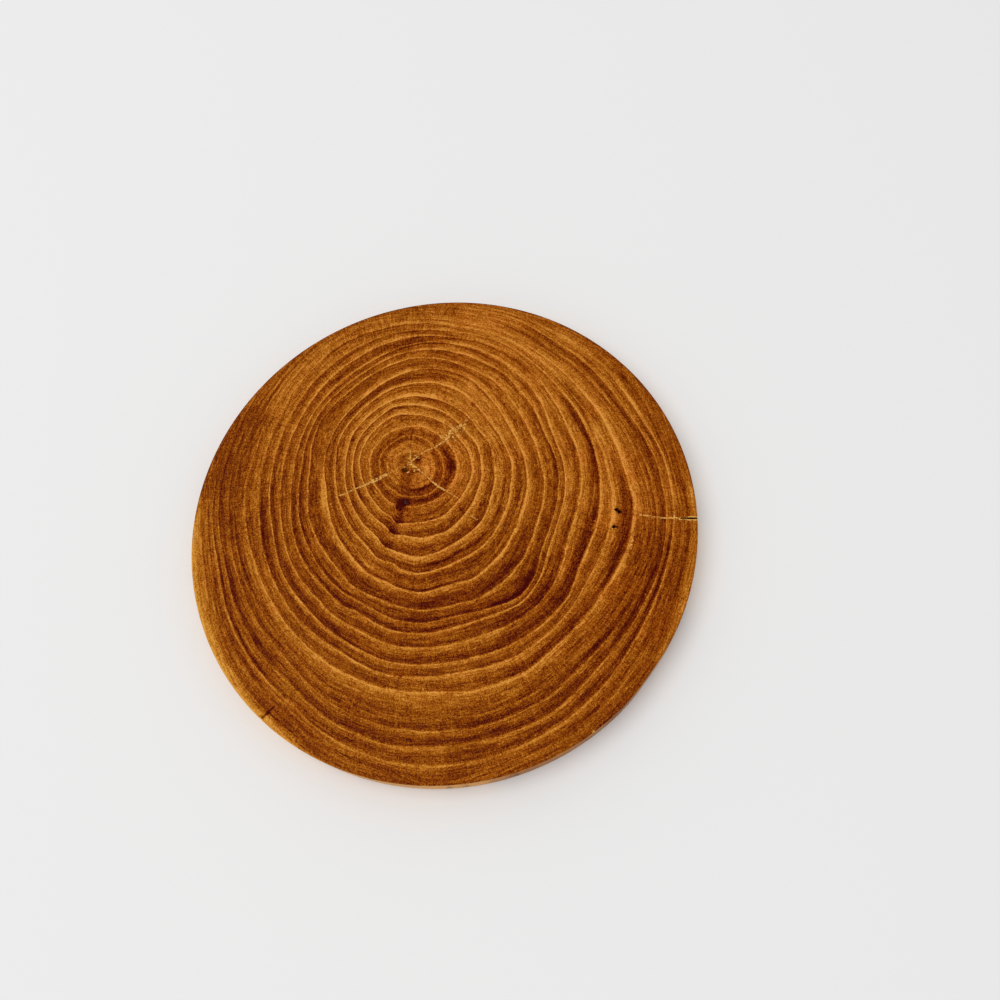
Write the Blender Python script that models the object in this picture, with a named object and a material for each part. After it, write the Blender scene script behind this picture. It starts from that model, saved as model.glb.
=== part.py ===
"""Round slice of elm, cut across the trunk, turned to a disc and sanded flat.

Units are metres, +Z is up. The origin is the middle of the bottom face, the
show face looks up, and the drying check lies on the +X edge.
"""

import math

import bmesh
import bpy
from mathutils import Matrix, Vector

# ---- driving dimensions -------------------------------------------------
DIAMETER = 0.2495         # across the turned disc, mean
THICKNESS = 0.015         # face to face
EDGE_ROUND = 0.0010       # sanded round on both edges
OVAL = 0.0010             # how far drying has pulled the outline out of round
OVAL_DIRECTION = math.radians(79.6)
FLAT = 0.0006             # a shallow flat left by the turning
FLAT_DIRECTION = math.radians(-36.5)
FLAT_SPREAD = math.radians(6.0)
RIM_SIDES = 216           # facets around the rim
EDGE_STEPS = 3            # facets across each rounded edge

PITH = (-0.0198, 0.0257)  # hollow left by the soft pith, on the show face
PITH_WIDTH = 0.0034
PITH_DEPTH = 0.0016

CHECK_END = (0.12372, 0.00025)   # where the drying check leaves the rim
CHECK_INNER = (0.11525, 0.00030)
CHECK_LENGTH = 0.0085
CHECK_WIDTH = 0.0009
CHECK_DEPTH = 0.0070           # depth below the show face

BORES = ((0.0849, 0.0046), (0.0862, 0.0035), (0.0836, -0.0042))   # beetle exit holes
BORE_DIAMETER = 0.0015
BORE_DEPTH = 0.0045

CHIP_ANGLE = math.radians(-128.2)   # small splinter lost at the rim
CHIP_WIDTH = 0.0034
CHIP_REACH = 0.0010

RADIUS = DIAMETER / 2.0


def clear_scene():
    for thing in list(bpy.data.objects):
        bpy.data.objects.remove(thing, do_unlink=True)


def outline_radius(angle):
    """Radius of the turned outline, slightly oval after drying."""
    away = (angle - FLAT_DIRECTION + math.pi) % (2.0 * math.pi) - math.pi
    flat = FLAT * math.exp(-(away / FLAT_SPREAD) ** 2)
    return RADIUS + OVAL * math.cos(2.0 * (angle - OVAL_DIRECTION)) - flat


def edge_profile():
    """(inset from the outline, height) pairs from the bottom face to the top."""
    pairs = []
    for i in range(EDGE_STEPS + 1):
        turn = 0.5 * math.pi * i / EDGE_STEPS
        pairs.append((EDGE_ROUND * (1.0 - math.sin(turn)),
                      EDGE_ROUND * (1.0 - math.cos(turn))))
    for inset, height in list(reversed(pairs)):
        pairs.append((inset, THICKNESS - height))
    return pairs


def new_object(name, bm):
    mesh = bpy.data.meshes.new(name)
    bm.normal_update()
    bm.to_mesh(mesh)
    bm.free()
    obj = bpy.data.objects.new(name, mesh)
    bpy.context.scene.collection.objects.link(obj)
    return obj


def turned_disc(name):
    """The blank: a closed disc with rounded edges, built ring by ring."""
    bm = bmesh.new()
    rings = []
    for inset, height in edge_profile():
        ring = []
        for i in range(RIM_SIDES):
            angle = 2.0 * math.pi * i / RIM_SIDES
            r = outline_radius(angle) - inset
            ring.append(bm.verts.new((r * math.cos(angle),
                                      r * math.sin(angle), height)))
        rings.append(ring)
    for low, high in zip(rings, rings[1:]):
        for i in range(RIM_SIDES):
            j = (i + 1) % RIM_SIDES
            bm.faces.new((low[i], low[j], high[j], high[i]))
    bm.faces.new(list(reversed(rings[0])))
    bm.faces.new(rings[-1])
    bmesh.ops.recalc_face_normals(bm, faces=bm.faces)
    return new_object(name, bm)


def as_cutter(obj):
    obj.hide_render = True
    obj.display_type = 'WIRE'
    return obj


def pith_cutter():
    """A shallow uneven bowl where the soft pith has fallen out."""
    bm = bmesh.new()
    bmesh.ops.create_uvsphere(bm, u_segments=16, v_segments=8, radius=1.0)
    for v in bm.verts:
        turn = math.atan2(v.co.y, v.co.x)
        swell = 1.0 + 0.18 * math.cos(2.0 * turn + 0.6) + 0.08 * math.cos(3.0 * turn)
        v.co.x *= 0.5 * PITH_WIDTH * swell
        v.co.y *= 0.5 * PITH_WIDTH * swell
        v.co.z *= PITH_DEPTH
    bmesh.ops.recalc_face_normals(bm, faces=bm.faces)
    obj = new_object("cut_pith", bm)
    obj.location = (PITH[0], PITH[1], THICKNESS + 0.0001)
    return as_cutter(obj)


def check_cutter():
    """A thin wedge: widest at the rim, closing inwards and downwards."""
    out = Vector(CHECK_END)
    inward = (Vector(CHECK_INNER) - out).normalized()
    side = Vector((-inward.y, inward.x))
    start = out - inward * 0.004
    steps = 8
    total = CHECK_LENGTH + 0.004
    bm = bmesh.new()
    rows = []
    for i in range(steps + 1):
        s = i / steps
        wander = 0.00022 * math.sin(9.0 * s + 0.5)
        middle = start + inward * (total * s) + side * wander
        half = 0.5 * CHECK_WIDTH * (1.0 - 0.93 * s)
        floor = THICKNESS - CHECK_DEPTH * (1.0 - 0.75 * s * s)
        high = THICKNESS + 0.002
        rows.append((
            bm.verts.new((*(middle - side * half), high)),
            bm.verts.new((*(middle + side * half), high)),
            bm.verts.new((*(middle + side * half * 0.25), floor)),
            bm.verts.new((*(middle - side * half * 0.25), floor)),
        ))
    for a, b in zip(rows, rows[1:]):
        for k in range(4):
            m = (k + 1) % 4
            bm.faces.new((a[k], a[m], b[m], b[k]))
    bm.faces.new(list(reversed(rows[0])))
    bm.faces.new(rows[-1])
    bmesh.ops.recalc_face_normals(bm, faces=bm.faces)
    return as_cutter(new_object("cut_check", bm))


def bore_cutter(index, place):
    """A small round tunnel with a pointed end."""
    bm = bmesh.new()
    high = 0.002
    bmesh.ops.create_cone(bm, cap_ends=True, segments=12,
                          radius1=0.3 * BORE_DIAMETER, radius2=0.5 * BORE_DIAMETER,
                          depth=BORE_DEPTH + high,
                          matrix=Matrix.Translation((0.0, 0.0, 0.5 * (high - BORE_DEPTH))))
    bmesh.ops.recalc_face_normals(bm, faces=bm.faces)
    obj = new_object("cut_bore_%d" % index, bm)
    obj.location = (place[0], place[1], THICKNESS)
    return as_cutter(obj)


def chip_cutter():
    """A slanted sliver that has broken off the upper edge."""
    bm = bmesh.new()
    bmesh.ops.create_icosphere(bm, subdivisions=2, radius=1.0)
    for v in bm.verts:
        v.co.x *= 0.0024
        v.co.y *= 0.5 * CHIP_WIDTH
        v.co.z *= 0.0036
    bmesh.ops.recalc_face_normals(bm, faces=bm.faces)
    obj = new_object("cut_chip", bm)
    reach = outline_radius(CHIP_ANGLE) + 0.0024 - CHIP_REACH
    obj.location = (reach * math.cos(CHIP_ANGLE), reach * math.sin(CHIP_ANGLE),
                    THICKNESS + 0.0004)
    obj.rotation_euler = (0.0, 0.0, CHIP_ANGLE + math.radians(14.0))
    return as_cutter(obj)


def wood_material():
    mat = bpy.data.materials.new("wood")
    mat.use_nodes = True
    shader = mat.node_tree.nodes["Principled BSDF"]
    shader.inputs["Base Color"].default_value = (0.42, 0.17, 0.035, 1.0)
    shader.inputs["Roughness"].default_value = 0.42
    shader.inputs["Metallic"].default_value = 0.0
    mat.diffuse_color = (0.42, 0.17, 0.035, 1.0)
    return mat


def cut(obj, cutter):
    mod = obj.modifiers.new(cutter.name, 'BOOLEAN')
    mod.operation = 'DIFFERENCE'
    mod.solver = 'EXACT'
    mod.object = cutter


def main():
    clear_scene()
    disc = turned_disc("wood_slice")
    disc.data.materials.append(wood_material())
    disc.data.shade_smooth()
    disc.data.set_sharp_from_angle(angle=math.radians(38.0))

    cut(disc, pith_cutter())
    cut(disc, check_cutter())
    for index, place in enumerate(BORES):
        cut(disc, bore_cutter(index + 1, place))
    cut(disc, chip_cutter())
    bpy.context.view_layer.update()


main()
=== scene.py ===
import math

import bmesh
import bpy
import numpy as np
from mathutils import Matrix, Vector


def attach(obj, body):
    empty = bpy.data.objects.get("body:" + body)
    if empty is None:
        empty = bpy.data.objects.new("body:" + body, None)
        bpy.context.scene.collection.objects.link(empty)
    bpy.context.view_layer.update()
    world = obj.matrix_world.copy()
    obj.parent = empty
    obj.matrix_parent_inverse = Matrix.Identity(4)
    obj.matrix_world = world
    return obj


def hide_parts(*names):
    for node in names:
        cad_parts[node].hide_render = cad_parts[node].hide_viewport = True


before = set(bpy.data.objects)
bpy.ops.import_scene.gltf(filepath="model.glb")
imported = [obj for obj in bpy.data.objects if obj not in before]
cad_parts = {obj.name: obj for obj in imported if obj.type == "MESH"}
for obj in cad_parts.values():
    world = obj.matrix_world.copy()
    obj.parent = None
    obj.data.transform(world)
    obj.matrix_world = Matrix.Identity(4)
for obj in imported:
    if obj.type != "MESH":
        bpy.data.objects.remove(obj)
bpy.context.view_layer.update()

# A round slice of elm. Lengths in the tables below are millimetres in the
# frame of the model; angles are degrees, counter-clockwise from +X as seen
# from above. "Ring coordinate" means the radius that a growth ring has in the
# 300 degree direction from the pith, so it is the same all along one ring.

THICK = 15.0
RADIUS = 124.75              # mean
OVAL = 1.0                   # drying has pulled the outline out of round
OVAL_DIRECTION = math.radians(79.6)
FLAT = 0.6                   # a shallow flat left by the turning
FLAT_DIRECTION = math.radians(-36.5)
FLAT_SPREAD = math.radians(6.0)
EDGE_ROUND = 1.0
RIM_COLUMNS = 400
CENTRE = (-18.4, 29.1)       # growth centre of the trunk on the show face
LEAN = (0.045, 0.030)        # how far the trunk axis leans, mm per mm of depth

HOLLOW = (-19.8, 25.7)       # hollow left by the soft pith
HOLLOW_RADIUS = 1.7
CHECK_OUT = (123.72, 0.25)   # where the drying check leaves the rim
CHECK_IN = (115.25, 0.30)
BORES = ((84.9, 4.6), (86.2, 3.5), (83.6, -4.2))
CHIP_ANGLE = math.radians(-128.2)

# ---- growth rings -------------------------------------------------------
# Directions in which each ring's radius from the pith is given.
DIRECTIONS = (0, 16, 31, 46, 60, 75, 90, 105, 120, 135, 150, 165, 180, 196,
              211, 226, 241, 250, 256, 260, 264, 270, 280, 290, 300, 309, 318,
              327, 336, 346)
RINGS = (
    (7.0, (7.2, 6.8, 6.8, 7.3, 7.6, 6.8, 6.4, 6.3, 6.1, 6, 6.6, 6.8, 6.5, 6.5,
           6.3, 6.2, 6.3, 6.8, 6.8, 6.9, 7.4, 7.5, 7.5, 7.4, 7.3, 7.4, 7.6, 8,
           8.2, 7.9)),
    (12.0, (12.6, 11.8, 11.3, 11.3, 11.2, 11, 11, 10.9, 10.7, 10.7, 11.1, 10.7,
            10.6, 10.6, 10.8, 10.8, 11.4, 11.9, 11.9, 12.4, 12.5, 13.1, 13.6,
            14, 14.4, 14.4, 15, 14.8, 14.5, 13.7)),
    (17.0, (16.9, 16.1, 15.1, 15.1, 15.1, 15, 15.1, 15, 14.3, 14.3, 14.5, 14.6,
            14.1, 14, 14.3, 14.8, 15.5, 15.9, 16.3, 16.9, 17, 17.3, 17.8, 18.3,
            19.2, 19.6, 19.6, 19.2, 18.8, 18)),
    (23.3, (24.7, 23.5, 22.5, 21.5, 21.1, 21.7, 20.8, 20.6, 20.4, 20.3, 19.9,
            20, 19.6, 19.4, 19.8, 20, 21.7, 22.5, 23, 25.5, 26.6, 22.9, 23.4,
            23.9, 24.2, 24.6, 24.6, 25, 25.1, 25.2)),
    (33.9, (32.1, 30.5, 28.7, 28.8, 28.4, 28, 28, 28.9, 27.7, 26.6, 26, 25.5,
            25, 24.5, 24.6, 25.7, 27.4, 28.9, 29.4, 31.4, 33, 32.5, 32.9, 33.3,
            34.2, 34.1, 33.5, 32.9, 32.9, 33)),
    (42.0, (36.9, 36, 33.7, 33.3, 33.5, 33.5, 33.5, 33.9, 31.7, 30.5, 29.9,
            28.9, 28.4, 28.9, 29.6, 30.7, 32.9, 34.3, 35.8, 37.8, 38.9, 38.8,
            40.6, 41.6, 42.1, 41.5, 40.4, 39.7, 38.7, 38.2)),
    (50.0, (43.4, 42.1, 39.7, 39.5, 39.1, 39, 39, 37.9, 36.3, 35, 34.3, 32.9,
            32.3, 32.9, 34, 36.1, 39.3, 41.2, 44.3, 45.9, 46.9, 48.4, 50.8,
            50.3, 49.7, 49.5, 49.3, 48.2, 46.2, 45.2)),
    (59.0, (52.1, 48.7, 46.8, 47, 48, 47.7, 46.3, 44.5, 41.8, 40.1, 39.4, 38.4,
            37.2, 37.6, 39.4, 41.7, 45.4, 48.2, 51.3, 52.4, 52.9, 55.9, 58.5,
            58.4, 58.3, 58.6, 58, 56.4, 55.3, 53.4)),
    (69.8, (59, 55.6, 54.3, 55.1, 56.7, 56.3, 54.4, 50.6, 46.9, 44.7, 44, 43.3,
            43.2, 42.8, 45.5, 49.6, 54.4, 58.1, 60.7, 61.8, 62.8, 65.4, 68.3,
            68.2, 69.6, 68.5, 66.9, 64.8, 62.8, 61.8)),
    (80.0, (67.2, 63.9, 62.7, 63.5, 62.6, 62.5, 61.9, 58.5, 55.3, 53.5, 53.4,
            52.1, 50.5, 52.2, 55.9, 59.6, 64, 68.3, 69.9, 70.9, 72.3, 74.3,
            77.3, 78.2, 79.6, 79.4, 77.8, 74.8, 72.3, 70.9)),
    (85.9, (74.8, 70.5, 69.8, 69.7, 68.8, 68.2, 66.5, 62.6, 58.8, 57, 56.3, 55,
            54.4, 56.7, 60.9, 65.1, 70.4, 73.3, 74.8, 76.3, 78.3, 80.8, 83.2,
            83.7, 86.2, 89.4, 86.8, 80.8, 78.8, 77.4)),
    (90.9, (77.9, 74.2, 75, 74.9, 74.1, 72.9, 70.6, 66.2, 62.7, 60.3, 59.2,
            58.4, 58.2, 60.6, 65.3, 70.6, 74.9, 78.7, 79.8, 81.7, 83.8, 86.3,
            88.2, 88.4, 89.8, 92, 89.3, 84.2, 81.4, 80.5)),
    (98.2, (86.3, 82.1, 80.9, 80.5, 79.3, 76.6, 75.1, 72.2, 68.7, 66.3, 64,
            63.3, 63.7, 66, 70.3, 76.1, 80.9, 85.1, 87.1, 88.6, 90.7, 93.2,
            95.1, 96, 97.4, 98.3, 96.7, 92.6, 88.7, 87.8)),
    (106.6, (94.8, 90.5, 86.4, 84.4, 83.3, 80.1, 79.2, 77.2, 74.7, 72.2, 69.8,
             68.7, 69.2, 71.4, 75.2, 82.1, 87.8, 92, 94.5, 96.5, 98.6, 101.1,
             103.1, 104.4, 106.3, 106.7, 105.6, 101.5, 99.5, 98.3)),
    (113.6, (98.8, 93.5, 89.9, 87.9, 86.3, 83.7, 83.3, 82.3, 81.3, 78.2, 75.3,
             73.7, 74.6, 76.8, 81.7, 87.6, 94.3, 98, 100, 102.5, 104.6, 107.1,
             108.6, 110.4, 112.3, 111.7, 110.1, 107.5, 106.5, 104.8)),
    (121.8, (107.3, 100.4, 94.5, 91, 89.3, 86.8, 86.5, 86.4, 85.4, 82.8, 79.9,
             78.7, 80.5, 84.3, 87.7, 93.1, 100.4, 104.9, 107.9, 109.5, 111.6,
             113.6, 116, 119.8, 120.8, 118.7, 118, 117, 117, 115.3)),
    (131.0, (115.4, 106.1, 99.8, 94.7, 93, 90.3, 90, 91, 90.7, 87.7, 85.9,
             85.3, 87, 89.7, 94, 99.8, 106.6, 112.7, 116.9, 118.5, 121, 124.1,
             126.6, 130.5, 130.5, 128.2, 127.1, 126.5, 126.6, 123.9)),
    (136.7, (118.4, 108.5, 102.2, 97.2, 95.9, 92.8, 92, 94.1, 94.8, 90.7, 88.4,
             88.8, 90, 92.7, 97, 103.7, 111.1, 117.7, 122.3, 124.9, 127.5,
             130.5, 133.5, 136, 135.9, 133.2, 132.1, 131.1, 129.7, 126.4)),
    (143.4, (123.7, 113.3, 107, 101.5, 99.3, 95.7, 94.1, 97.2, 98.9, 93.7,
             91.9, 92.2, 93.9, 97.6, 101.4, 109.7, 118.1, 123.7, 128.8, 131.9,
             133.9, 137.5, 140, 141.9, 142.4, 139.2, 137.1, 135.6, 134.2, 130.9)),
    (149.8, (128, 118, 112.5, 106.1, 101.8, 98.2, 96.6, 100.7, 102.9, 97.2,
             94.8, 94.1, 96.7, 100.6, 104.9, 114.8, 124.2, 129.7, 135.2, 138.3,
             140.9, 144.9, 148.3, 149.3, 148.8, 146.6, 143, 140.1, 137.3, 134.5)),
    (155.5, (130.5, 123.6, 119.6, 111.6, 104.3, 101.2, 98.7, 103.3, 106.9,
             99.8, 97.8, 95.6, 100.6, 103, 108.3, 118.2, 128.2, 134.6, 140.2,
             143.3, 145.9, 149.4, 155.3, 154.3, 153.8, 152.6, 149.5, 145.6,
             141.8, 138.5)),
)

# How each ring is built: ring coordinate of its pale first wood, how dark the
# late wood before it is, how pale its first wood is, the shade just after it,
# the shade in the middle of the ring, and how wide the pale line is. Shades
# run from 0, the darkest wood, to 1, the palest.
YEARS = (
    (2.2, 0.44, 0.52, 0.48, 0.44, 0.8),
    (6.8, 0.45, 0.62, 0.55, 0.54, 1.0),
    (12.2, 0.53, 0.64, 0.46, 0.40, 0.6),
    (17.6, 0.39, 0.68, 0.41, 0.38, 0.5),
    (23.4, 0.43, 0.78, 0.56, 0.56, 0.7),
    (29.8, 0.45, 0.56, 0.50, 0.46, 0.7),
    (33.7, 0.42, 0.94, 0.61, 0.51, 0.8),
    (41.8, 0.37, 0.93, 0.61, 0.53, 0.8),
    (49.8, 0.38, 0.94, 0.58, 0.54, 0.8),
    (53.2, 0.54, 0.60, 0.52, 0.44, 0.6),
    (56.0, 0.40, 0.50, 0.46, 0.44, 0.5),
    (59.0, 0.42, 0.92, 0.54, 0.42, 0.9),
    (66.0, 0.40, 0.50, 0.47, 0.44, 0.8),
    (69.7, 0.38, 0.86, 0.57, 0.43, 1.0),
    (79.7, 0.38, 0.78, 0.44, 0.41, 0.8),
    (85.8, 0.33, 0.72, 0.47, 0.42, 0.6),
    (90.8, 0.36, 0.76, 0.50, 0.43, 0.8),
    (98.2, 0.38, 0.76, 0.54, 0.41, 0.9),
    (106.6, 0.30, 0.78, 0.52, 0.44, 1.0),
    (113.5, 0.42, 0.76, 0.58, 0.49, 1.1),
    (121.7, 0.44, 0.82, 0.62, 0.52, 1.1),
    (131.0, 0.42, 0.56, 0.47, 0.40, 0.8),
    (136.5, 0.36, 0.60, 0.47, 0.40, 1.2),
    (143.5, 0.33, 0.61, 0.49, 0.43, 1.1),
    (149.7, 0.37, 0.72, 0.49, 0.46, 0.9),
    (155.5, 0.38, 0.52, 0.46, 0.42, 0.9),
    (162.0, 0.38, 0.48, 0.47, 0.45, 1.0),
)

# Streaks that lie along the rings: ring coordinate and direction of both ends,
# half width and strength. Late wood is denser and darker in some directions
# and first wood is paler in others.
STREAKS = (
    (5.2, -4, 5.4, 44, 1.6, -0.3), (5.6, 18, 5.8, 46, 1.8, -0.32),
    (6.5, 262, 6.5, 345, 1.6, -0.16), (8, 240, 8.4, 284, 3.2, -0.34),
    (8.4, 100, 8.4, 230, 0.3, 0.12), (8.8, 322, 8.8, 389, 2.4, 0.1),
    (8.8, 300, 8.8, 380, 0.4, 0.14), (9.2, 96, 9.2, 226, 0.3, -0.14),
    (9.9, 150, 9.9, 262, 0.28, 0.12), (10.2, 310, 10.2, 392, 0.35, -0.14),
    (10.5, 100, 10.5, 160, 2.4, 0.05), (10.6, 140, 10.6, 266, 0.3, -0.14),
    (11.2, 300, 11.2, 372, 0.3, 0.12), (12.9, 210, 12.9, 250, 0.35, 0.16),
    (12.9, 246, 12.8, 318, 0.8, -0.34), (13.4, 272, 13.2, 350, 1, -0.24),
    (13.4, 88, 13.4, 132, 0.8, 0.12), (13.8, 60, 13.8, 130, 0.3, 0.14),
    (14.6, 212, 14.6, 248, 0.35, 0.14), (14.8, 350, 14.8, 394, 1.8, -0.2),
    (14.8, 50, 14.8, 140, 0.3, -0.12), (15, 41, 15.5, 95, 1.4, -0.08),
    (15.2, 275, 15.2, 350, 1.6, -0.14), (15.6, 85, 15.8, 200, 1.4, -0.1),
    (15.6, 60, 15.6, 100, 0.3, 0.12), (15.8, 214, 15.8, 262, 0.35, -0.14),
    (17.4, 38, 17.4, 62, 0.7, 0.12), (18.8, 214, 18.8, 262, 0.4, 0.14),
    (19.2, 96, 19.2, 196, 0.4, -0.12), (20, 200, 20, 228, 2, -0.08),
    (20, 216, 20, 262, 0.35, -0.16), (20.2, 306, 20.4, 340, 1.8, -0.3),
    (20.4, 334, 20.4, 393, 1.5, -0.28), (20.4, 110, 20.4, 190, 0.4, 0.1),
    (20.5, 278, 20.6, 314, 1.8, -0.3), (21.2, 342, 20.7, 373, 1.2, -0.24),
    (22.3, 45, 22.3, 200, 0.9, 0.12), (22.8, 70, 23.2, 92, 1.2, 0.14),
    (23.2, -6, 23.2, 41, 0.8, 0.06), (24, 190, 24, 232, 0.6, 0.14),
    (24.7, 266, 24.8, 330, 0.7, -0.16), (25, 25, 25.5, 39, 1.4, -0.2),
    (25.2, 272, 25.2, 320, 0.5, 0.1), (25.6, 206, 25.6, 256, 0.4, -0.12),
    (26.4, 196, 26.4, 212, 1.4, -0.14), (26.6, 206, 26.6, 256, 0.4, 0.1),
    (26.8, 280, 26.8, 330, 0.5, -0.12), (27.5, 209, 28.5, 226, 2.8, -0.24),
    (28, 268, 28, 336, 4, -0.05), (28.4, 212, 28.4, 258, 0.4, -0.1),
    (28.8, 104, 30.8, 203, 1.2, -0.03), (29, 280, 29.5, 320, 1.4, -0.06),
    (29, 226, 29.5, 258, 1.4, -0.07), (29.4, 45, 29, 106, 1.3, -0.18),
    (30, 36, 30, 60, 5, 0.08), (30.6, 276, 30.6, 322, 0.5, -0.1),
    (31, 125, 31, 185, 2.4, 0.09), (33.6, 259, 33.6, 267, 0.8, -0.5),
    (33.8, 268, 33.8, 325, 0.9, -0.22), (36, 20, 36, 74, 0.5, 0.1),
    (37, 250, 37, 266, 2.4, -0.28), (37, 312, 37, 328, 2.6, -0.14),
    (37.5, 140, 37.5, 184, 3, 0.09), (38.4, -4, 38.4, 62, 1.5, -0.06),
    (38.4, 108, 38.6, 207, 1.6, -0.09), (38.4, 268, 38.8, 334, 1.3, -0.15),
    (38.6, 236, 38.6, 262, 0.9, -0.08), (39.6, 199, 40.2, 228, 1.3, -0.3),
    (39.8, 96, 39.8, 116, 0.9, -0.2), (41.6, 257, 41.8, 264, 0.8, -0.5),
    (41.8, 62, 41.8, 136, 0.9, 0.06), (42, -10, 42, 39, 0.9, 0.05),
    (42, 201, 42, 268, 0.8, 0.05), (45, -12, 46, 22, 2.2, -0.1),
    (45.6, -4, 45.6, 20, 2, -0.1), (46, 186, 46, 224, 2.4, -0.1),
    (46, 268, 46.4, 290, 1, -0.12), (46.4, 262, 46.4, 292, 1, -0.09),
    (46.6, 197, 46.6, 252, 1, -0.1), (46.6, 315, 46.6, 334, 2.2, -0.14),
    (46.8, 296, 46.8, 362, 1.2, -0.1), (47, 110, 47, 150, 1.2, -0.06),
    (47, 251, 47.5, 262, 1.8, -0.18), (47.3, 27, 46.8, 94, 1.3, -0.15),
    (47.5, 290, 48, 325, 1.2, -0.1), (50, 78, 50, 132, 0.9, 0.08),
    (50, 207, 50, 300, 0.8, 0.05), (50, 24, 50, 68, 0.7, -0.16),
    (50.2, 66, 50.8, 132, 1.4, 0.1), (50.4, 0, 51, 30, 1.3, -0.22),
    (50.6, -2, 50.6, 17, 0.8, -0.34), (54, 160, 54, 237, 2, -0.05),
    (54.5, 16, 54.5, 72, 2.6, 0.09), (55, 248, 55.1, 357, 0.7, -0.16),
    (55.2, 262, 55, 316, 0.9, -0.08), (55.3, 278, 55.3, 322, 1.6, -0.14),
    (57.3, 197, 57, 300, 0.5, -0.1), (58.4, 279, 58.4, 292, 0.6, -0.25),
    (58.8, 163, 58.8, 184, 0.9, -0.34), (59.1, 0, 59.1, 42, 0.8, -0.15),
    (61, 255, 61, 330, 1.2, -0.06), (61.5, 278, 61.5, 322, 1.6, -0.12),
    (63.5, 150, 63.5, 216, 2, -0.05), (64, 264, 64.5, 330, 1.6, 0.03),
    (64, 336, 64, 366, 2.2, -0.09), (64.4, 86, 65.2, 152, 2.6, -0.15),
    (64.6, 68, 64.6, 98, 2.4, -0.12), (64.6, 238, 64.8, 270, 2, 0.07),
    (64.8, 50, 65.2, 60, 1.2, 0.14), (65, 8, 65, 64, 3, 0.12),
    (65, 232, 65, 268, 2, 0.07), (65.2, 223, 66, 264, 1.8, 0.08),
    (65.4, 52, 65.4, 62, 1.4, 0.1), (66.3, 93, 66.9, 129, 1.2, -0.15),
    (67.4, 112, 67.4, 160, 1, -0.14), (68, 221, 68.3, 314, 0.6, -0.22),
    (69.3, 138, 69.5, 188, 1.1, -0.22), (69.6, 298, 69.6, 346, 0.9, 0.05),
    (69.9, 50, 70, 92, 1, -0.18), (70, 72, 70, 90, 1.2, -0.22),
    (70.3, 90, 70.2, 131, 1.5, 0.15), (70.3, 130, 69.8, 168, 0.5, 0.08),
    (70.8, 124, 71.2, 186, 1.2, -0.2), (71, 187, 71.4, 270, 1.8, 0.12),
    (71.8, 190, 72.2, 212, 0.9, 0.16), (72.5, 292, 73, 334, 2.2, -0.11),
    (73.5, 60, 72.5, 110, 1.6, -0.16), (74, 13, 75, 106, 1.2, -0.11),
    (74, 228, 73.5, 266, 1.8, -0.14), (74.6, 328, 74.6, 387, 1.6, -0.06),
    (74.6, 22, 74.6, 56, 1.4, -0.1), (75.5, 187, 75.6, 302, 2, -0.09),
    (76, 108, 77, 162, 1, -0.07), (76.5, 270, 76.8, 335, 2.6, -0.12),
    (77.6, 300, 77.6, 323, 1, -0.16), (79.2, -6, 79.2, 80, 0.9, 0.07),
    (79.4, 196, 79.4, 214, 0.6, -0.14), (79.6, 126, 79.6, 168, 0.8, -0.16),
    (82.5, 86, 82.5, 106, 2.6, 0.12), (82.8, 224, 83, 256, 1.6, 0.1),
    (83, 146, 83, 170, 1.4, -0.14), (83, 226, 83.2, 256, 1.2, 0.07),
    (84.3, 29, 84.3, 64, 0.5, -0.12), (84.3, 158, 84.5, 262, 0.6, -0.14),
    (84.4, 132, 84.2, 148, 0.8, 0.12), (84.6, 260, 84.6, 300, 0.6, -0.1),
    (84.6, 299, 84.5, 321, 0.9, -0.46), (85.2, -6, 85.6, 14, 1, -0.28),
    (85.8, 128, 85.8, 189, 0.8, 0.06), (86.6, 55, 86.3, 94, 0.8, 0.1),
    (88.7, 98, 88.7, 152, 0.6, -0.06), (88.9, 17, 88.9, 74, 0.8, -0.15),
    (89, 187, 89, 294, 0.9, -0.14), (90.8, 74, 91.5, 104, 1.4, -0.34),
    (91, 100, 91, 137, 0.9, 0.06), (91, 160, 91.2, 178, 1.6, -0.14),
    (91.4, 248, 91.4, 334, 0.5, 0.1), (92, 58, 92, 78, 1, 0.07),
    (92.5, 324, 92.5, 362, 2.6, 0.13), (92.5, 286, 92.5, 330, 0.6, -0.12),
    (93, 100, 93, 136, 1.4, -0.12), (94, 98, 94, 168, 2.2, -0.1),
    (94, 285, 94, 350, 2, -0.05), (94.5, 70, 94.5, 106, 2.4, -0.14),
    (96.6, 37, 96.3, 82, 1, -0.15), (97, 298, 99, 324, 4.5, -0.14),
    (97.6, 106, 97.6, 122, 0.7, -0.24), (97.6, 303, 97.6, 322, 0.8, -0.18),
    (98.1, 199, 98.1, 272, 1, 0.06), (98.1, 140, 98.2, 212, 1, -0.18),
    (98.3, 84, 98.3, 189, 1.1, 0.1), (98.5, 64, 103, 100, 1.6, -0.18),
    (99, 34, 98.5, 60, 0.9, -0.12), (101, 39, 101, 78, 2, 0.06),
    (101.8, 32, 97.4, 52, 1.2, -0.14), (102.2, 92, 102, 120, 2.2, 0.16),
    (103, 294, 104.4, 348, 1.6, -0.14), (103.2, 86, 102.8, 127, 1.4, -0.06),
    (103.5, 158, 103.5, 264, 1, -0.12), (104.9, 322, 104.9, 352, 0.5, -0.14),
    (105.2, -8, 102.6, 31, 1.3, -0.28), (105.6, 152, 106, 247, 1.1, 0.08),
    (105.6, 122, 105.8, 168, 0.8, 0.12), (105.7, 296, 105.8, 348, 0.6, 0.14),
    (106.2, 2, 106.2, 18, 1, -0.28), (107.4, 244, 107.6, 302, 1, 0.06),
    (107.6, -6, 107.6, 48, 1, 0.1), (109, 192, 109.5, 224, 2.2, -0.16),
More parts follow.
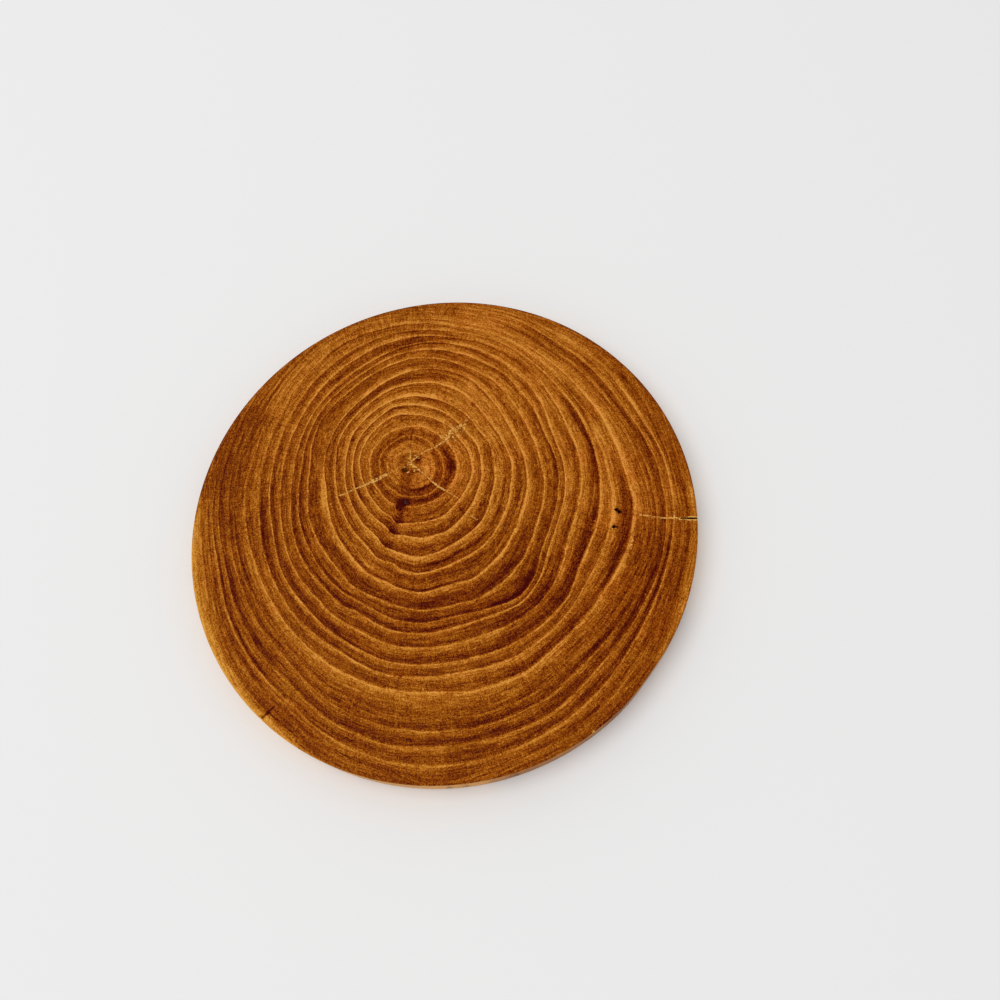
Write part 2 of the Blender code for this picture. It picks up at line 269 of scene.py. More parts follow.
    (109.5, 258, 109.5, 300, 1, -0.06), (109.5, 240, 109.5, 258, 2, -0.12),
    (110.6, 108, 110.6, 136, 1.6, 0.12), (111, 31, 112.6, 40, 2, -0.15),
    (111.4, 338, 111.4, 364, 1.6, 0.22), (111.6, 156, 111.8, 208, 0.8, -0.12),
    (111.6, 201, 111, 258, 0.9, -0.09), (112.2, 196, 112.2, 216, 0.8, -0.2),
    (112.4, 108, 112.6, 130, 0.9, -0.2), (112.8, 82, 112.6, 130, 0.8, -0.2),
    (113.6, 266, 113.3, 302, 1, 0.08), (113.8, 322, 114, 352, 1.6, 0.12),
    (114, 12, 114, 33, 2.6, -0.18), (114, 198, 114, 222, 1.8, -0.14),
    (114, 90, 116, 112, 3.2, 0.09), (115, 126, 115, 193, 3, 0.07),
    (115, 32, 115, 70, 3.2, 0.07), (115.5, 74, 115.5, 130, 2, 0.12),
    (115.8, 33, 116, 62, 2, 0.15), (116, 238, 116.4, 258, 2, -0.12),
    (116, 12, 116, 33, 2.8, -0.14), (117, 250, 117.6, 332, 1.8, -0.13),
    (118.6, 326, 118.6, 362, 1.6, -0.26), (119.8, 284, 120, 346, 0.7, -0.16),
    (120, 200, 122, 218, 3.5, -0.1), (120.8, 122, 120.8, 140, 1.4, 0.14),
    (121, 338, 121, 352, 0.9, -0.26), (121.5, 195, 121, 360, 1.1, 0.06),
    (121.8, -6, 122, 51, 1.2, 0.1), (122, 294, 124, 316, 4, -0.08),
    (124.5, 262, 125, 340, 1.8, -0.04), (124.6, 154, 125, 206, 2.6, -0.18),
    (124.8, 333, 124.8, 348, 1.4, -0.22), (126.5, 128, 126.5, 189, 1.2, 0.09),
    (128.6, 126, 128.5, 193, 1.1, -0.13), (129.2, 203, 129.2, 222, 1.6, -0.26),
    (130.6, 324, 130.6, 344, 0.8, -0.16), (131, 283, 131, 332, 0.7, 0.07),
    (131.5, 132, 131.5, 162, 1.5, 0.09), (132.8, 11, 132.3, 64, 1.4, -0.18),
    (133.6, 36, 133, 64, 1, -0.14), (134, 281, 134, 324, 1.4, -0.15),
    (135, 136, 134, 168, 1.2, -0.1), (136.6, 209, 136.5, 332, 1.5, 0.06),
    (138, -4, 138, 36, 0.9, -0.14), (139.2, 316, 139, 352, 1.8, -0.16),
    (139.5, 68, 139.5, 94, 1.2, -0.15), (140.3, -4, 140, 55, 1.2, -0.21),
    (140.8, 136, 141, 162, 2.4, 0.11), (141, 243, 140.4, 352, 1.2, -0.15),
    (141, 156, 141, 194, 12, -0.11), (142, 207, 142, 245, 1.2, -0.18),
    (142, 26, 142, 54, 0.8, -0.16), (142, 54, 142, 78, 7, 0.12),
    (142.3, 158, 142.5, 195, 1, -0.11), (143.6, -2, 143.6, 55, 1.3, 0.11),
    (144.2, 189, 144, 347, 1.2, 0.08), (145.5, 128, 145.5, 182, 2, 0.09),
    (147.3, 286, 146.8, 348, 0.8, -0.2), (147.4, 329, 147.4, 346, 1.4, -0.22),
    (147.5, 17, 148.5, 28, 2.2, -0.24), (148.3, 205, 148, 248, 0.9, -0.18),
    (148.6, 16, 148.4, 56, 1.8, 0.18), (149, 279, 149, 291, 5, -0.13),
    (149.6, 211, 149.5, 347, 1, 0.1), (149.9, -2, 150, 25, 1.5, 0.13),
    (150, 340, 151, 362, 4.5, 0.16), (150, 160, 150, 192, 1.5, -0.14),
    (152.5, 190, 152.5, 214, 2.4, 0.13), (153, 333, 153, 352, 1.5, -0.1),
    (153.5, 221, 153, 244, 1.5, -0.14), (153.8, 254, 154, 270, 1.5, 0.1),
    (154.5, 2, 153.5, 30, 1.4, -0.14), (155, 306, 155, 322, 1.2, 0.14),
    (162, 188, 163, 246, 4.5, 0.2),
)

# Small dark or pale spots: place on the face, radius and strength.
SPOTS = (
    (-48.1, 42.7, 1.3, -0.42), (-26.5, 60.2, 1.2, -0.34),
    (-29.5, 58.8, 1.3, -0.3), (-65.5, 52.7, 1.2, -0.28), (-63, 50.2, 1.4, 0.12),
    (12.9, 63.5, 1.2, -0.22), (-14.8, 67.3, 1.1, -0.24), (13, 37.1, 0.6, -0.55),
    (-17.5, 49.6, 1.6, -0.22), (-24.3, -13.6, 1.8, -0.16),
    (-33.7, -32.4, 1.5, -0.12), (-20.3, 25.1, 1.6, -0.24),
    (-16.2, 24.8, 1.1, -0.32), (-21.5, 30.4, 1.2, -0.24),
    (-16.3, -78.1, 1, -0.4), (-15.2, -78, 0.8, -0.4), (-121.8, 5.2, 0.9, -0.55),
    (118.1, 15.9, 1.1, -0.34), (120, 6.2, 0.7, -0.36),
    (111.2, -9.8, 0.8, -0.34), (100.7, -18.7, 0.8, -0.4),
    (112.2, 7.9, 0.6, 0.3), (108.4, -15.6, 0.9, -0.2), (-91.5, -82.9, 1, -0.3),
    (-18.8, 8.7, 2.1, -0.7), (-20.6, 7.2, 2, -0.46), (-21.8, 9.2, 1.3, -0.4),
    (-17.6, 6.8, 1.5, -0.42), (-19.7, 4.4, 1.5, -0.42),
    (-20.8, 1.5, 1.7, -0.36), (-21.5, -1.4, 1.6, -0.28), (-19.8, -2.2, 1, -0.25),
    (-23, 4.7, 1.3, -0.3), (-14.5, 30.3, 1.3, -0.2), (-21, 33, 1.3, -0.28),
    (-19.8, 28, 1, -0.22), (-76.7, -97.4, 0.9, -0.45),
    (-74.4, -95.5, 1.1, -0.32), (-74.6, -97.6, 1.2, 0.26),
    (-72.8, -98.4, 1.1, 0.2), (-23.6, -7.7, 1.5, -0.55),
    (-24.7, -6.1, 1, -0.38), (-21.5, -8.5, 1.3, -0.26), (-26.8, -15, 1.4, -0.5),
    (-27.9, -13.4, 0.9, -0.34), (-24.4, -15.6, 1.4, -0.22),
    (-21, -2.6, 1.2, -0.3), (98.7, -69.4, 1, -0.38), (99.9, -71.7, 1.1, -0.34),
    (-67.4, -88, 0.8, -0.5), (85.1, 4.9, 1.2, -0.5), (86.5, 3.6, 1.1, -0.5),
    (83.7, -4.3, 1.2, -0.5), (85.3, -4.4, 0.7, -0.5), (93.3, -9.9, 0.8, -0.4),
    (90.8, -17.1, 0.9, -0.42), (-20.6, 2.6, 2, -0.22),
    (-21.3, -0.6, 1.8, -0.2), (-22.8, 5.2, 1.2, -0.2),
)

# Drying cracks filled with sanding dust: points on the face, width, how much
# dust lies in them, and depth.
CRACKS = (
    (((-17.4, 29.4), (-19.5, 27.7), (-22.2, 26.2), (-23.9, 25.8)), 0.42, 0.42, 0.1),
    (((-23.9, 25.8), (-26.4, 24.4), (-28.3, 23.3)), 0.45, 0.6, 0.12),
    (((-28.3, 23.3), (-31.5, 21.6), (-34.4, 19.9), (-36.6, 18.8)), 1.35, 0.84, 0.16),
    (((-36.6, 18.8), (-39, 17.4), (-42.4, 16)), 0.95, 0.8, 0.16),
    (((-42.4, 16), (-44.1, 15.2), (-47.9, 13.2), (-52.5, 11)), 0.6, 0.66, 0.1),
    (((-17.3, 29.9), (-14.2, 32.8), (-11, 35.7), (-6.1, 37.9)), 0.55, 0.68, 0.14),
    (((-6.1, 37.9), (-2.8, 40.1), (-0.3, 42.4), (1.8, 44.7)), 0.7, 0.74, 0.12),
    (((-17.4, 29.7), (-17.8, 33.5), (-17.8, 37.7)), 0.52, 0.8, 0.14),
    (((-17.1, 28.9), (-12.9, 25.7), (-10.5, 23.6)), 0.75, 0.74, 0.14),
    (((-10.5, 23.6), (-8.3, 21.6), (-5.7, 19)), 0.5, 0.58, 0.1),
    (((-5.7, 19), (-2.3, 16.4), (1.1, 14.4)), 0.8, 0.9, 0.14),
    (((1.1, 14.4), (4.2, 12.5), (7.2, 10.1)), 0.42, 0.64, 0.12),
    (((2.3, 13.6), (5.3, 11.8), (8.2, 9.7), (8.4, 7.4)), 0.42, 0.7, 0.1),
    (((11.6, 2.6), (13.2, 1.8), (15.7, 0.1), (17.7, -1.2)), 0.45, 0.65, 0.1),
    (((27.2, -2.7), (30.7, -5.1), (34.2, -7.7)), 0.4, 0.45, 0.08),
    (((96, 1.9), (98.8, 1.7), (101.6, 1.3)), 0.5, 0.95, 0.12),
    (((101.6, 1.3), (103.4, 1), (105, 0.8)), 0.42, 0.55, 0.08),
    (((104.6, 0.8), (106.6, 0.4), (109.4, 0.3)), 0.52, 0.95, 0.12),
    (((108.8, 0.4), (111.2, 0.5), (114.4, 0.5)), 0.6, 0.95, 0.12),
    (((112.8, 3.6), (112.9, 1.4), (112.6, -2.5)), 0.42, 0.6, 0.06),
    (((114.4, 0.1), (116.5, 0), (119.5, 0.4)), 0.95, 0.8, 0.12),
    (((118.6, 1.0), (121.3, 1.15), (123.5, 1.0)), 0.5, 0.95, 0),
    (((118.4, -0.5), (121.3, -0.6), (123.5, -0.5)), 0.5, 0.95, 0),
)

# Hairlines that are stained but hold no dust: points, width, strength.
HAIRLINES = (
    (((86.6, 3.1), (89.5, 2.3), (92.7, 1.8), (96, 1.9)), 0.45, -0.1),
    (((-18, 38.3), (-17.9, 41.5), (-17.9, 44.5), (-17.2, 48.6)), 0.5, -0.34),
    (((8.4, 7.4), (8.3, 5.6), (10, 3.3), (11.6, 2.6)), 0.6, -0.26),
    (((17.7, -1.2), (22.5, -2.2), (27.2, -2.7)), 0.4, -0.1),
    (((33.2, -10.2), (35, -12.2)), 0.6, -0.24),
    (((-76.4, -97.5), (-74.2, -95.0), (-72.0, -92.6)), 0.7, -0.5),
)

# Pale flecks of dust: place, radius, amount.
FLECKS = (
    (112.7, 1.3, 0.9, 0.55), (83.9, 5.4, 0.7, 0.55), (87.1, 4.4, 0.6, 0.45),
    (82.8, -5.2, 0.6, 0.6), (84.5, -5.1, 0.6, 0.45), (84.8, -3.1, 0.6, 0.35),
    (-93, -84.5, 1, 0.45), (-89.7, -87.6, 0.8, 0.3), (-13, -1.4, 0.8, 0.35),
    (-23.7, 2.8, 0.5, 0.35), (-17.4, 29.1, 1.4, 0.95), (-16, 27.3, 1.1, 0.85),
    (-18.3, 24.4, 0.9, 0.8), (-13.5, 32.4, 0.9, 0.6), (-15.4, 33.5, 0.8, 0.6),
    (-18.5, 31.6, 0.9, 0.7), (-19.9, 26.1, 0.8, 0.7), (-15.1, 25.5, 0.8, 0.6),
    (-0.4, 43.4, 1.5, 0.75), (1.8, 45.9, 1.8, 0.7), (4.5, 47.3, 1.6, 0.62),
    (6.2, 49.6, 1.6, 0.66), (8.7, 51, 1.4, 0.7), (3.4, 43.7, 1.3, 0.55),
    (0.7, 41.4, 1.2, 0.6), (8.1, 47.3, 1.3, 0.52), (-3, 44.2, 1.1, 0.45),
    (9.9, 53.6, 1.1, 0.6), (5.2, 44.2, 1.1, 0.4), (93.4, -5.6, 0.8, 0.5),
    (93, -7.9, 0.9, 0.56), (92.3, -11.2, 0.9, 0.56), (91.8, -13.2, 1, 0.56),
    (91.2, -15.2, 0.9, 0.56), (89.8, -18.1, 0.5, 0.6), (72.6, -100.9, 0.7, 1),
    (-2.4, 43.7, 0.8, 0.8), (-0.4, 44.5, 0.9, 0.85), (2, 47.6, 1, 0.85),
    (3.4, 49.3, 0.9, 0.75), (3.3, 45.9, 0.8, 0.7), (5.7, 44.8, 0.9, 0.8),
    (7.5, 50.8, 0.9, 0.75), (8.8, 48.8, 1, 0.8), (10.4, 46.8, 0.9, 0.7),
    (0.9, 42.2, 0.8, 0.7), (4.8, 42, 0.8, 0.6), (7.1, 47.1, 0.8, 0.5),
    (0.8, 50.5, 0.8, 0.5), (-0.8, 41.4, 0.7, 0.7), (12.3, 45.3, 0.7, 0.5),
    (-15.3, 25, 0.7, 0.8), (-18.6, 24.7, 0.7, 0.9), (-20.3, 26.9, 0.6, 0.8),
)

# Differences over whole regions: place, spread, shade, hue. The shade is partly painted light, brighter towards +Y and
# darker towards +X and -Y, and partly the wood's own tone. Positive hue is redder and negative hue is yellower.
REGIONS = (
    (54, 62, 46, 0.19, 0.2), (9, 105, 40, 0.13, 0.3),
    (-72, 69, 38, 0.09, 0.15), (-100, -1, 34, -0.04, 0.05),
    (90, -43, 38, -0.08, 0.4), (95, 14, 26, 0.03, 0.45),
    (-11, -101, 46, -0.01, -0.2), (-86, -71, 30, -0.03, -0.05),
    (-9, 27, 24, 0.08, 0.5), (6, -44, 36, -0.02, 0.2),
)


# ---- small helpers ------------------------------------------------------

def srgb(r, g, b, light=1.0, gloss=0.0):
    """Linear colour of a surface that shows as this 0 to 255 colour under this
    light, with this much white gloss on top."""
    out = []
    for c in (r, g, b):
        c = c / 255.0
        c = c / 12.92 if c <= 0.04045 else ((c + 0.055) / 1.055) ** 2.4
        out.append(min(1.0, max(0.0006, (c - gloss) / light)))
    return out[0], out[1], out[2], 1.0


def ring_radii(theta):
    """Radius of every listed ring in these directions, smooth all round."""
    d = np.array(DIRECTIONS, float)
    x = np.concatenate((d[-4:] - 360.0, d, d[:4] + 360.0))
    y = np.array([row for _, row in RINGS], float)
    y = np.concatenate((y[:, -4:], y, y[:, :4]), axis=1).T
    h = np.diff(x)[:, None]
    s = np.diff(y, axis=0) / h
    m = np.zeros_like(y)
    w1 = 2.0 * h[1:] + h[:-1]
    w2 = h[1:] + 2.0 * h[:-1]
    same = s[:-1] * s[1:] > 0
    low = np.where(same, s[:-1], 1.0)
    high = np.where(same, s[1:], 1.0)
    m[1:-1] = np.where(same, (w1 + w2) / (w1 / low + w2 / high), 0.0)
    m[0], m[-1] = s[0], s[-1]
    th = np.mod(theta, 360.0)
    i = np.clip(np.searchsorted(x, th, side="right") - 1, 0, len(x) - 2)
    step = x[i + 1] - x[i]
    f = ((th - x[i]) / step)[:, None]
    step = step[:, None]
    out = ((1 + 2 * f) * (1 - f) ** 2 * y[i] + f * (1 - f) ** 2 * step * m[i]
           + f * f * (3 - 2 * f) * y[i + 1] + f * f * (f - 1) * step * m[i + 1])
    return out.T


def ring_coordinate(x, y, z=None):
    """Ring coordinate and direction in degrees of points in mm."""
    depth = 0.0 if z is None else THICK - z
    dx = x - CENTRE[0] - LEAN[0] * depth
    dy = y - CENTRE[1] - LEAN[1] * depth
    r = np.hypot(dx, dy)
    theta = np.degrees(np.arctan2(dy, dx))
    rows = ring_radii(theta)
    levels = np.array([0.0] + [t for t, _ in RINGS])
    rows = np.concatenate((np.zeros((1, len(r))), rows))
    grow = (rows[-1] - rows[-4]) / 3.0
    step = (levels[-1] - levels[-4]) / 3.0
    more = [rows[-1] + grow * (k + 1) for k in range(5)]
    rows = np.concatenate((rows, np.array(more)))
    levels = np.concatenate((levels, levels[-1] + step * np.arange(1, 6)))
    h = np.diff(rows, axis=0)
    s = np.diff(levels)[:, None] / h
    m = np.zeros_like(rows)
    w1 = 2.0 * h[1:] + h[:-1]
    w2 = h[1:] + 2.0 * h[:-1]
    m[1:-1] = (w1 + w2) / (w1 / s[:-1] + w2 / s[1:])
    m[0], m[-1] = s[0], s[-1]
    i = np.clip((rows <= r[None]).sum(0) - 1, 0, len(levels) - 2)
    j = np.arange(len(r))
    hh = h[i, j]
    f = np.clip((r - rows[i, j]) / hh, 0.0, 1.5)
    t = ((1 + 2 * f) * (1 - f) ** 2 * levels[i] + f * (1 - f) ** 2 * hh * m[i, j]
         + f * f * (3 - 2 * f) * levels[i + 1] + f * f * (f - 1) * hh * m[i + 1, j])
    return t, np.mod(theta, 360.0)


def outline_radius(a):
    away = np.mod(a - FLAT_DIRECTION + math.pi, 2.0 * math.pi) - math.pi
    return (RADIUS - 0.02 + OVAL * np.cos(2.0 * (a - OVAL_DIRECTION))
            - FLAT * np.exp(-(away / FLAT_SPREAD) ** 2))


def edge_round(a):
    """The sanded edge is a little rounder in some places than in others."""
    return EDGE_ROUND * (0.93 + 0.05 * np.sin(3.0 * a + 0.7) + 0.02 * np.sin(11.0 * a))


def to_line(x, y, points):
    """Distance to a broken line, and how far along it the nearest place is."""
    best = np.full(len(x), 1e9)
    along = np.zeros(len(x))
    done = 0.0
    total = sum(math.dist(a, b) for a, b in zip(points, points[1:]))
    for (ax, ay), (bx, by) in zip(points, points[1:]):
        lx, ly = bx - ax, by - ay
        size = math.hypot(lx, ly)
        f = np.clip(((x - ax) * lx + (y - ay) * ly) / (size * size), 0.0, 1.0)
        d = np.hypot(x - ax - f * lx, y - ay - f * ly)
        near = d < best
        best = np.where(near, d, best)
        along = np.where(near, (done + f * size) / total, along)
        done += size
    return best, along


def wave(x, y, size, seed):
    """Smooth irregular variation between about -1 and 1 over this size."""
    out = np.zeros(len(x))
    rng = np.random.default_rng(seed)
    for _ in range(7):
        turn = rng.uniform(0.0, 2.0 * math.pi)
        k = 2.0 * math.pi / (size * rng.uniform(0.7, 1.6))
        out += np.sin(k * (x * math.cos(turn) + y * math.sin(turn)) + rng.uniform(0.0, 6.3))
    return out / 4.0


# ---- the mesh -----------------------------------------------------------

def flat_boundary(columns):
    """Points where the flat face meets the rounded edge."""
    a = 2.0 * np.pi * np.arange(columns) / columns
    r = outline_radius(a) - edge_round(a)
    return r * np.cos(a), r * np.sin(a)


def face_rows(columns, row_step, along_step, inner_step):
    """Closed rows of points that follow the growth rings near the pith and
    turn into the outline at the edge. The last row is the outline itself."""
    bx, by = flat_boundary(1440)
    theta = np.degrees(np.arctan2(by - CENTRE[1], bx - CENTRE[0])) % 360.0
    reach = np.hypot(bx - CENTRE[0], by - CENTRE[1])
    order = np.argsort(theta)
    grid = np.arange(0.0, 360.0, 0.5)
    r_out = np.interp(grid, theta[order], reach[order], period=360.0)
    samples = np.linspace(0.0, 1.0, 420)
    radius = samples[:, None] * r_out[None]
    cosg, sing = np.cos(np.radians(grid)), np.sin(np.radians(grid))
    t, _ = ring_coordinate((CENTRE[0] + radius * cosg).ravel(),
                           (CENTRE[1] + radius * sing).ravel())
    t = np.maximum.accumulate(t.reshape(radius.shape), axis=0)
    t_out = t[-1]
    top, keep = 168.0, 60.0
    levels = [inner_step]
    while levels[-1] < top - row_step * 0.75:
        levels.append(levels[-1] + (inner_step if levels[-1] < 26 else row_step))
    levels = np.array(levels[:-1])
    rows = []
    for level in levels:
        goal = np.where(level > keep, keep + (level - keep) * (t_out - keep) / (top - keep), level)
        r = np.array([np.interp(g, t[:, i], radius[:, i]) for i, g in enumerate(goal)])
        x, y = CENTRE[0] + r * cosg, CENTRE[1] + r * sing
        seg = np.hypot(np.diff(np.append(x, x[0])), np.diff(np.append(y, y[0])))
        arc = np.concatenate(([0.0], np.cumsum(seg)))
        step = along_step if level > 26 else max(0.55, along_step * (0.3 + 0.7 * level / 26))
        n = max(10, int(round(arc[-1] / step)))
        want = (np.arange(n) + 0.5 * (len(rows) % 2)) / n * arc[-1]
        g = np.interp(want, arc, np.append(grid, 360.0))
        rr = np.interp(g, np.append(grid, 360.0), np.append(r, r[0]))
        rows.append((g, CENTRE[0] + rr * np.cos(np.radians(g)), CENTRE[1] + rr * np.sin(np.radians(g))))
    ox, oy = flat_boundary(columns)
    g = np.degrees(np.arctan2(oy - CENTRE[1], ox - CENTRE[0])) % 360.0
    return rows, (g, ox, oy)


def stitch(faces, low_ids, low_deg, high_ids, high_deg):
    """Triangles between an inner row and an outer row, seen from above."""
    n, m = len(low_ids), len(high_ids)
    a = np.append(low_deg, low_deg[0] + 360.0)
    b = np.append(high_deg, high_deg[0] + 360.0)
    i = j = 0
    while i < n or j < m:
        if j >= m or (i < n and a[i + 1] <= b[j + 1]):
            faces.append((low_ids[i % n], high_ids[j % m], low_ids[(i + 1) % n]))
            i += 1
        else:
            faces.append((low_ids[i % n], high_ids[j % m], high_ids[(j + 1) % m]))
            j += 1


def add_face(points, faces, z, rim_ids, rim_deg, rows, upward):
    """One flat face of the slice, from the pith out to the row rim_ids."""
    start = len(faces)
    points.append((CENTRE[0], CENTRE[1], z))
    middle = len(points) - 1
    last_ids = last_deg = None
    for g, x, y in rows:
        ids = list(range(len(points), len(points) + len(x)))
        points.extend(zip(x.tolist(), y.tolist(), [z] * len(x)))
        if last_ids is None:
            for k in range(len(ids)):
                faces.append((middle, ids[k], ids[(k + 1) % len(ids)]))
        else:
            stitch(faces, last_ids, last_deg, ids, g)
        last_ids, last_deg = ids, g
    first = int(np.argmin(rim_deg))
    order = list(range(first, len(rim_ids))) + list(range(first))
    stitch(faces, last_ids, last_deg, [rim_ids[k] for k in order], rim_deg[order])
    if not upward:
        for k in range(start, len(faces)):
            a, b, c = faces[k]
            faces[k] = (a, c, b)


def rim_profile():
    """Turn of the rounded edge, or height down the side, from top to bottom."""
    steps = []
    for i in range(6):
        steps.append(("top", i / 5.0))
    for i in range(1, 8):
        steps.append(("side", i / 8.0))
    for i in range(6):
        steps.append(("bottom", 1.0 - i / 5.0))
    return steps


def whole_slice():
    """Points in mm and triangles of the closed disc, before any marks."""
    points, faces = [], []
    a = 2.0 * np.pi * np.arange(RIM_COLUMNS) / RIM_COLUMNS
    out, rnd = outline_radius(a), edge_round(a)
    rows = []
    for kind, f in rim_profile():
        if kind == "side":
            inset = 0.0 * a
            z = (THICK - rnd) * (1.0 - f) + rnd * f
        else:
            turn = 0.5 * math.pi * f
            inset = rnd * (1.0 - math.sin(turn))
            drop = rnd * (1.0 - math.cos(turn))
            z = THICK - drop if kind == "top" else drop
        r = out - inset
        if kind == "side":
            r = r - 0.05 * (0.5 + 0.5 * np.sin(5 * a + 9 * f)) * math.sin(math.pi * f)
        ids = list(range(len(points), len(points) + RIM_COLUMNS))
        points.extend(zip((r * np.cos(a)).tolist(), (r * np.sin(a)).tolist(), z.tolist()))
        rows.append(ids)
    for high, low in zip(rows, rows[1:]):
        for i in range(RIM_COLUMNS):
            j = (i + 1) % RIM_COLUMNS
            faces.append((low[i], low[j], high[j]))
            faces.append((low[i], high[j], high[i]))
    top_rows, (deg, _, _) = face_rows(RIM_COLUMNS, 0.62, 2.2, 0.45)
    add_face(points, faces, THICK, rows[0], deg, top_rows, True)
    low_rows, (deg, _, _) = face_rows(RIM_COLUMNS, 3.0, 5.0, 1.5)
    add_face(points, faces, 0.0, rows[-1], deg, low_rows, False)
    return np.array(points), np.array(faces, dtype=np.int64)


def near_marks(p, pad):
    """True for points close enough to a mark to need a finer mesh."""
    x, y, z = p[:, 0], p[:, 1], p[:, 2]
    hit = np.zeros(len(p), bool)
    for points, width, _, _ in CRACKS:
        hit |= to_line(x, y, points)[0] < 0.5 * width + pad
    for points, width, _ in HAIRLINES:
        hit |= to_line(x, y, points)[0] < 0.5 * width + pad * 0.7
    hit |= np.hypot(x - HOLLOW[0], y - HOLLOW[1]) < HOLLOW_RADIUS + 1.2 + pad
    for bx, by in BORES:
        hit |= np.hypot(x - bx, y - by) < 1.3 + pad
    for px, py, size, _ in FLECKS:
        hit |= np.hypot(x - px, y - py) < size + pad * 0.5
    cx, cy = 124.4 * math.cos(CHIP_ANGLE), 124.4 * math.sin(CHIP_ANGLE)
    hit |= np.hypot(x - cx, y - cy) < 1.6 + pad
    return hit & (z > THICK - 1.5)


def refine(points, faces, marked):
    """Splits edges whose middle is marked; neighbours stay joined."""
    edges = np.sort(np.concatenate((faces[:, [0, 1]], faces[:, [1, 2]], faces[:, [2, 0]])), axis=1)
    unique, back = np.unique(edges, axis=0, return_inverse=True)
    back = back.reshape(3, -1).T
    middle = 0.5 * (points[unique[:, 0]] + points[unique[:, 1]])
    split = marked(middle, np.linalg.norm(points[unique[:, 0]] - points[unique[:, 1]], axis=1))
    new = np.full(len(unique), -1)
    new[split] = len(points) + np.arange(split.sum())
    points = np.concatenate((points, middle[split]))
    mids = new[back]
    count = (mids >= 0).sum(1)
    out = [faces[count == 0]]
    for k in range(3):
        # turn every case so that edge k comes first
        f = np.roll(faces, -k, axis=1)
        m = np.roll(mids, -k, axis=1)
        one = (count == 1) & (m[:, 0] >= 0)
        if one.any():
            a, b, c = f[one].T
            ab = m[one][:, 0]
            out += [np.stack((a, ab, c), 1), np.stack((ab, b, c), 1)]
        two = (count == 2) & (m[:, 0] >= 0) & (m[:, 1] >= 0)
        if two.any():
            a, b, c = f[two].T
            ab, bc = m[two][:, 0], m[two][:, 1]
            out += [np.stack((ab, b, bc), 1), np.stack((a, ab, bc), 1), np.stack((a, bc, c), 1)]
    three = count == 3
    if three.any():
        a, b, c = faces[three].T
        ab, bc, ca = mids[three].T
        out += [np.stack((a, ab, ca), 1), np.stack((ab, b, bc), 1),
                np.stack((ca, bc, c), 1), np.stack((ab, bc, ca), 1)]
    return points, np.concatenate(out)


def carve_face(points):
    """Sanded relief, grooves and the pith hollow of the show face."""
    x, y, z = points[:, 0].copy(), points[:, 1].copy(), points[:, 2].copy()
    on_top = z > THICK - 1e-6
    tx, ty = x[on_top], y[on_top]
    t, _ = ring_coordinate(tx, ty)
    edge = outline_radius(np.arctan2(ty, tx)) - np.hypot(tx, ty)
    inside = np.clip((edge - 1.05) / 1.5, 0.0, 1.0)
    sink = 0.012 + 0.010 * (1.0 + wave(tx, ty, 26.0, 3))
    for place, _, pale, _, _, width in YEARS:
        sink += 0.05 * max(0.0, pale - 0.45) * np.exp(-((t - place - 0.25) / width) ** 2)
    sink += 0.006 * (1.0 + wave(tx, ty, 2.6, 9))
    for line, width, _, depth in CRACKS:
        d, along = to_line(tx, ty, line)
        ends = np.clip(np.minimum(along, 1.0 - along) * 9.0 + 0.25, 0.0, 1.0)
        sink += depth * ends * np.exp(-(d / (0.42 * width)) ** 2) * (1.0 + 0.35 * wave(tx, ty, 1.7, 21))
    for line, width, _ in HAIRLINES:
        d, _ = to_line(tx, ty, line)
        sink += 0.07 * np.exp(-(d / (0.40 * width)) ** 2)
    turn = np.arctan2(ty - HOLLOW[1], tx - HOLLOW[0])
    rho = np.hypot(tx - HOLLOW[0], ty - HOLLOW[1])
    size = HOLLOW_RADIUS * (1.0 + 0.18 * np.cos(2.0 * turn + 0.6) + 0.10 * np.cos(3.0 * turn)
                            + 0.05 * np.cos(7.0 * turn + 1.0))
    bowl = np.clip(1.0 - (rho / size) ** 2, 0.0, 1.0)
    sink += 1.35 * bowl ** 0.8 * (1.0 + 0.22 * wave(tx, ty, 1.3, 5))
    for px, py, size, strength in SPOTS:
        if strength < -0.3 and size < 1.2:
            sink += 0.12 * np.exp(-(np.hypot(tx - px, ty - py) / (0.6 * size)) ** 2)
    for px, py, deep, size in ((-20.4, 8.9, 0.16, 1.4), (-18.1, 6.6, 0.20, 1.2), (-21.2, 4.8, 0.10, 1.1)):
        sink += deep * np.exp(-(np.hypot(tx - px, ty - py) / size) ** 2) * (1.0 + 0.5 * wave(tx, ty, 1.2, 8))
    z[on_top] = THICK - np.maximum(sink, 0.0) * inside
    return np.stack((x, y, z), 1)


def mesh_object(name, points, faces):
    mesh = bpy.data.meshes.new(name)
    mesh.from_pydata((points * 0.001).tolist(), [], faces.tolist())
    mesh.update()
    obj = bpy.data.objects.new(name, mesh)
    bpy.context.scene.collection.objects.link(obj)
    return obj


def closed_from_rows(name, rows):
    """A tube of point rows, in mm, with both ends closed, as a cutter."""
    bm = bmesh.new()
    made = [[bm.verts.new(tuple(0.001 * c for c in p)) for p in row] for row in rows]
    for a, b in zip(made, made[1:]):
        for k in range(len(a)):
            m = (k + 1) % len(a)
            bm.faces.new((a[k], a[m], b[m], b[k]))
    bm.faces.new(list(reversed(made[0])))
    bm.faces.new(made[-1])
    bmesh.ops.recalc_face_normals(bm, faces=bm.faces)
    bmesh.ops.triangulate(bm, faces=bm.faces)
    mesh = bpy.data.meshes.new(name)
    bm.to_mesh(mesh)
    bm.free()
    obj = bpy.data.objects.new(name, mesh)
    bpy.context.scene.collection.objects.link(obj)
    return obj


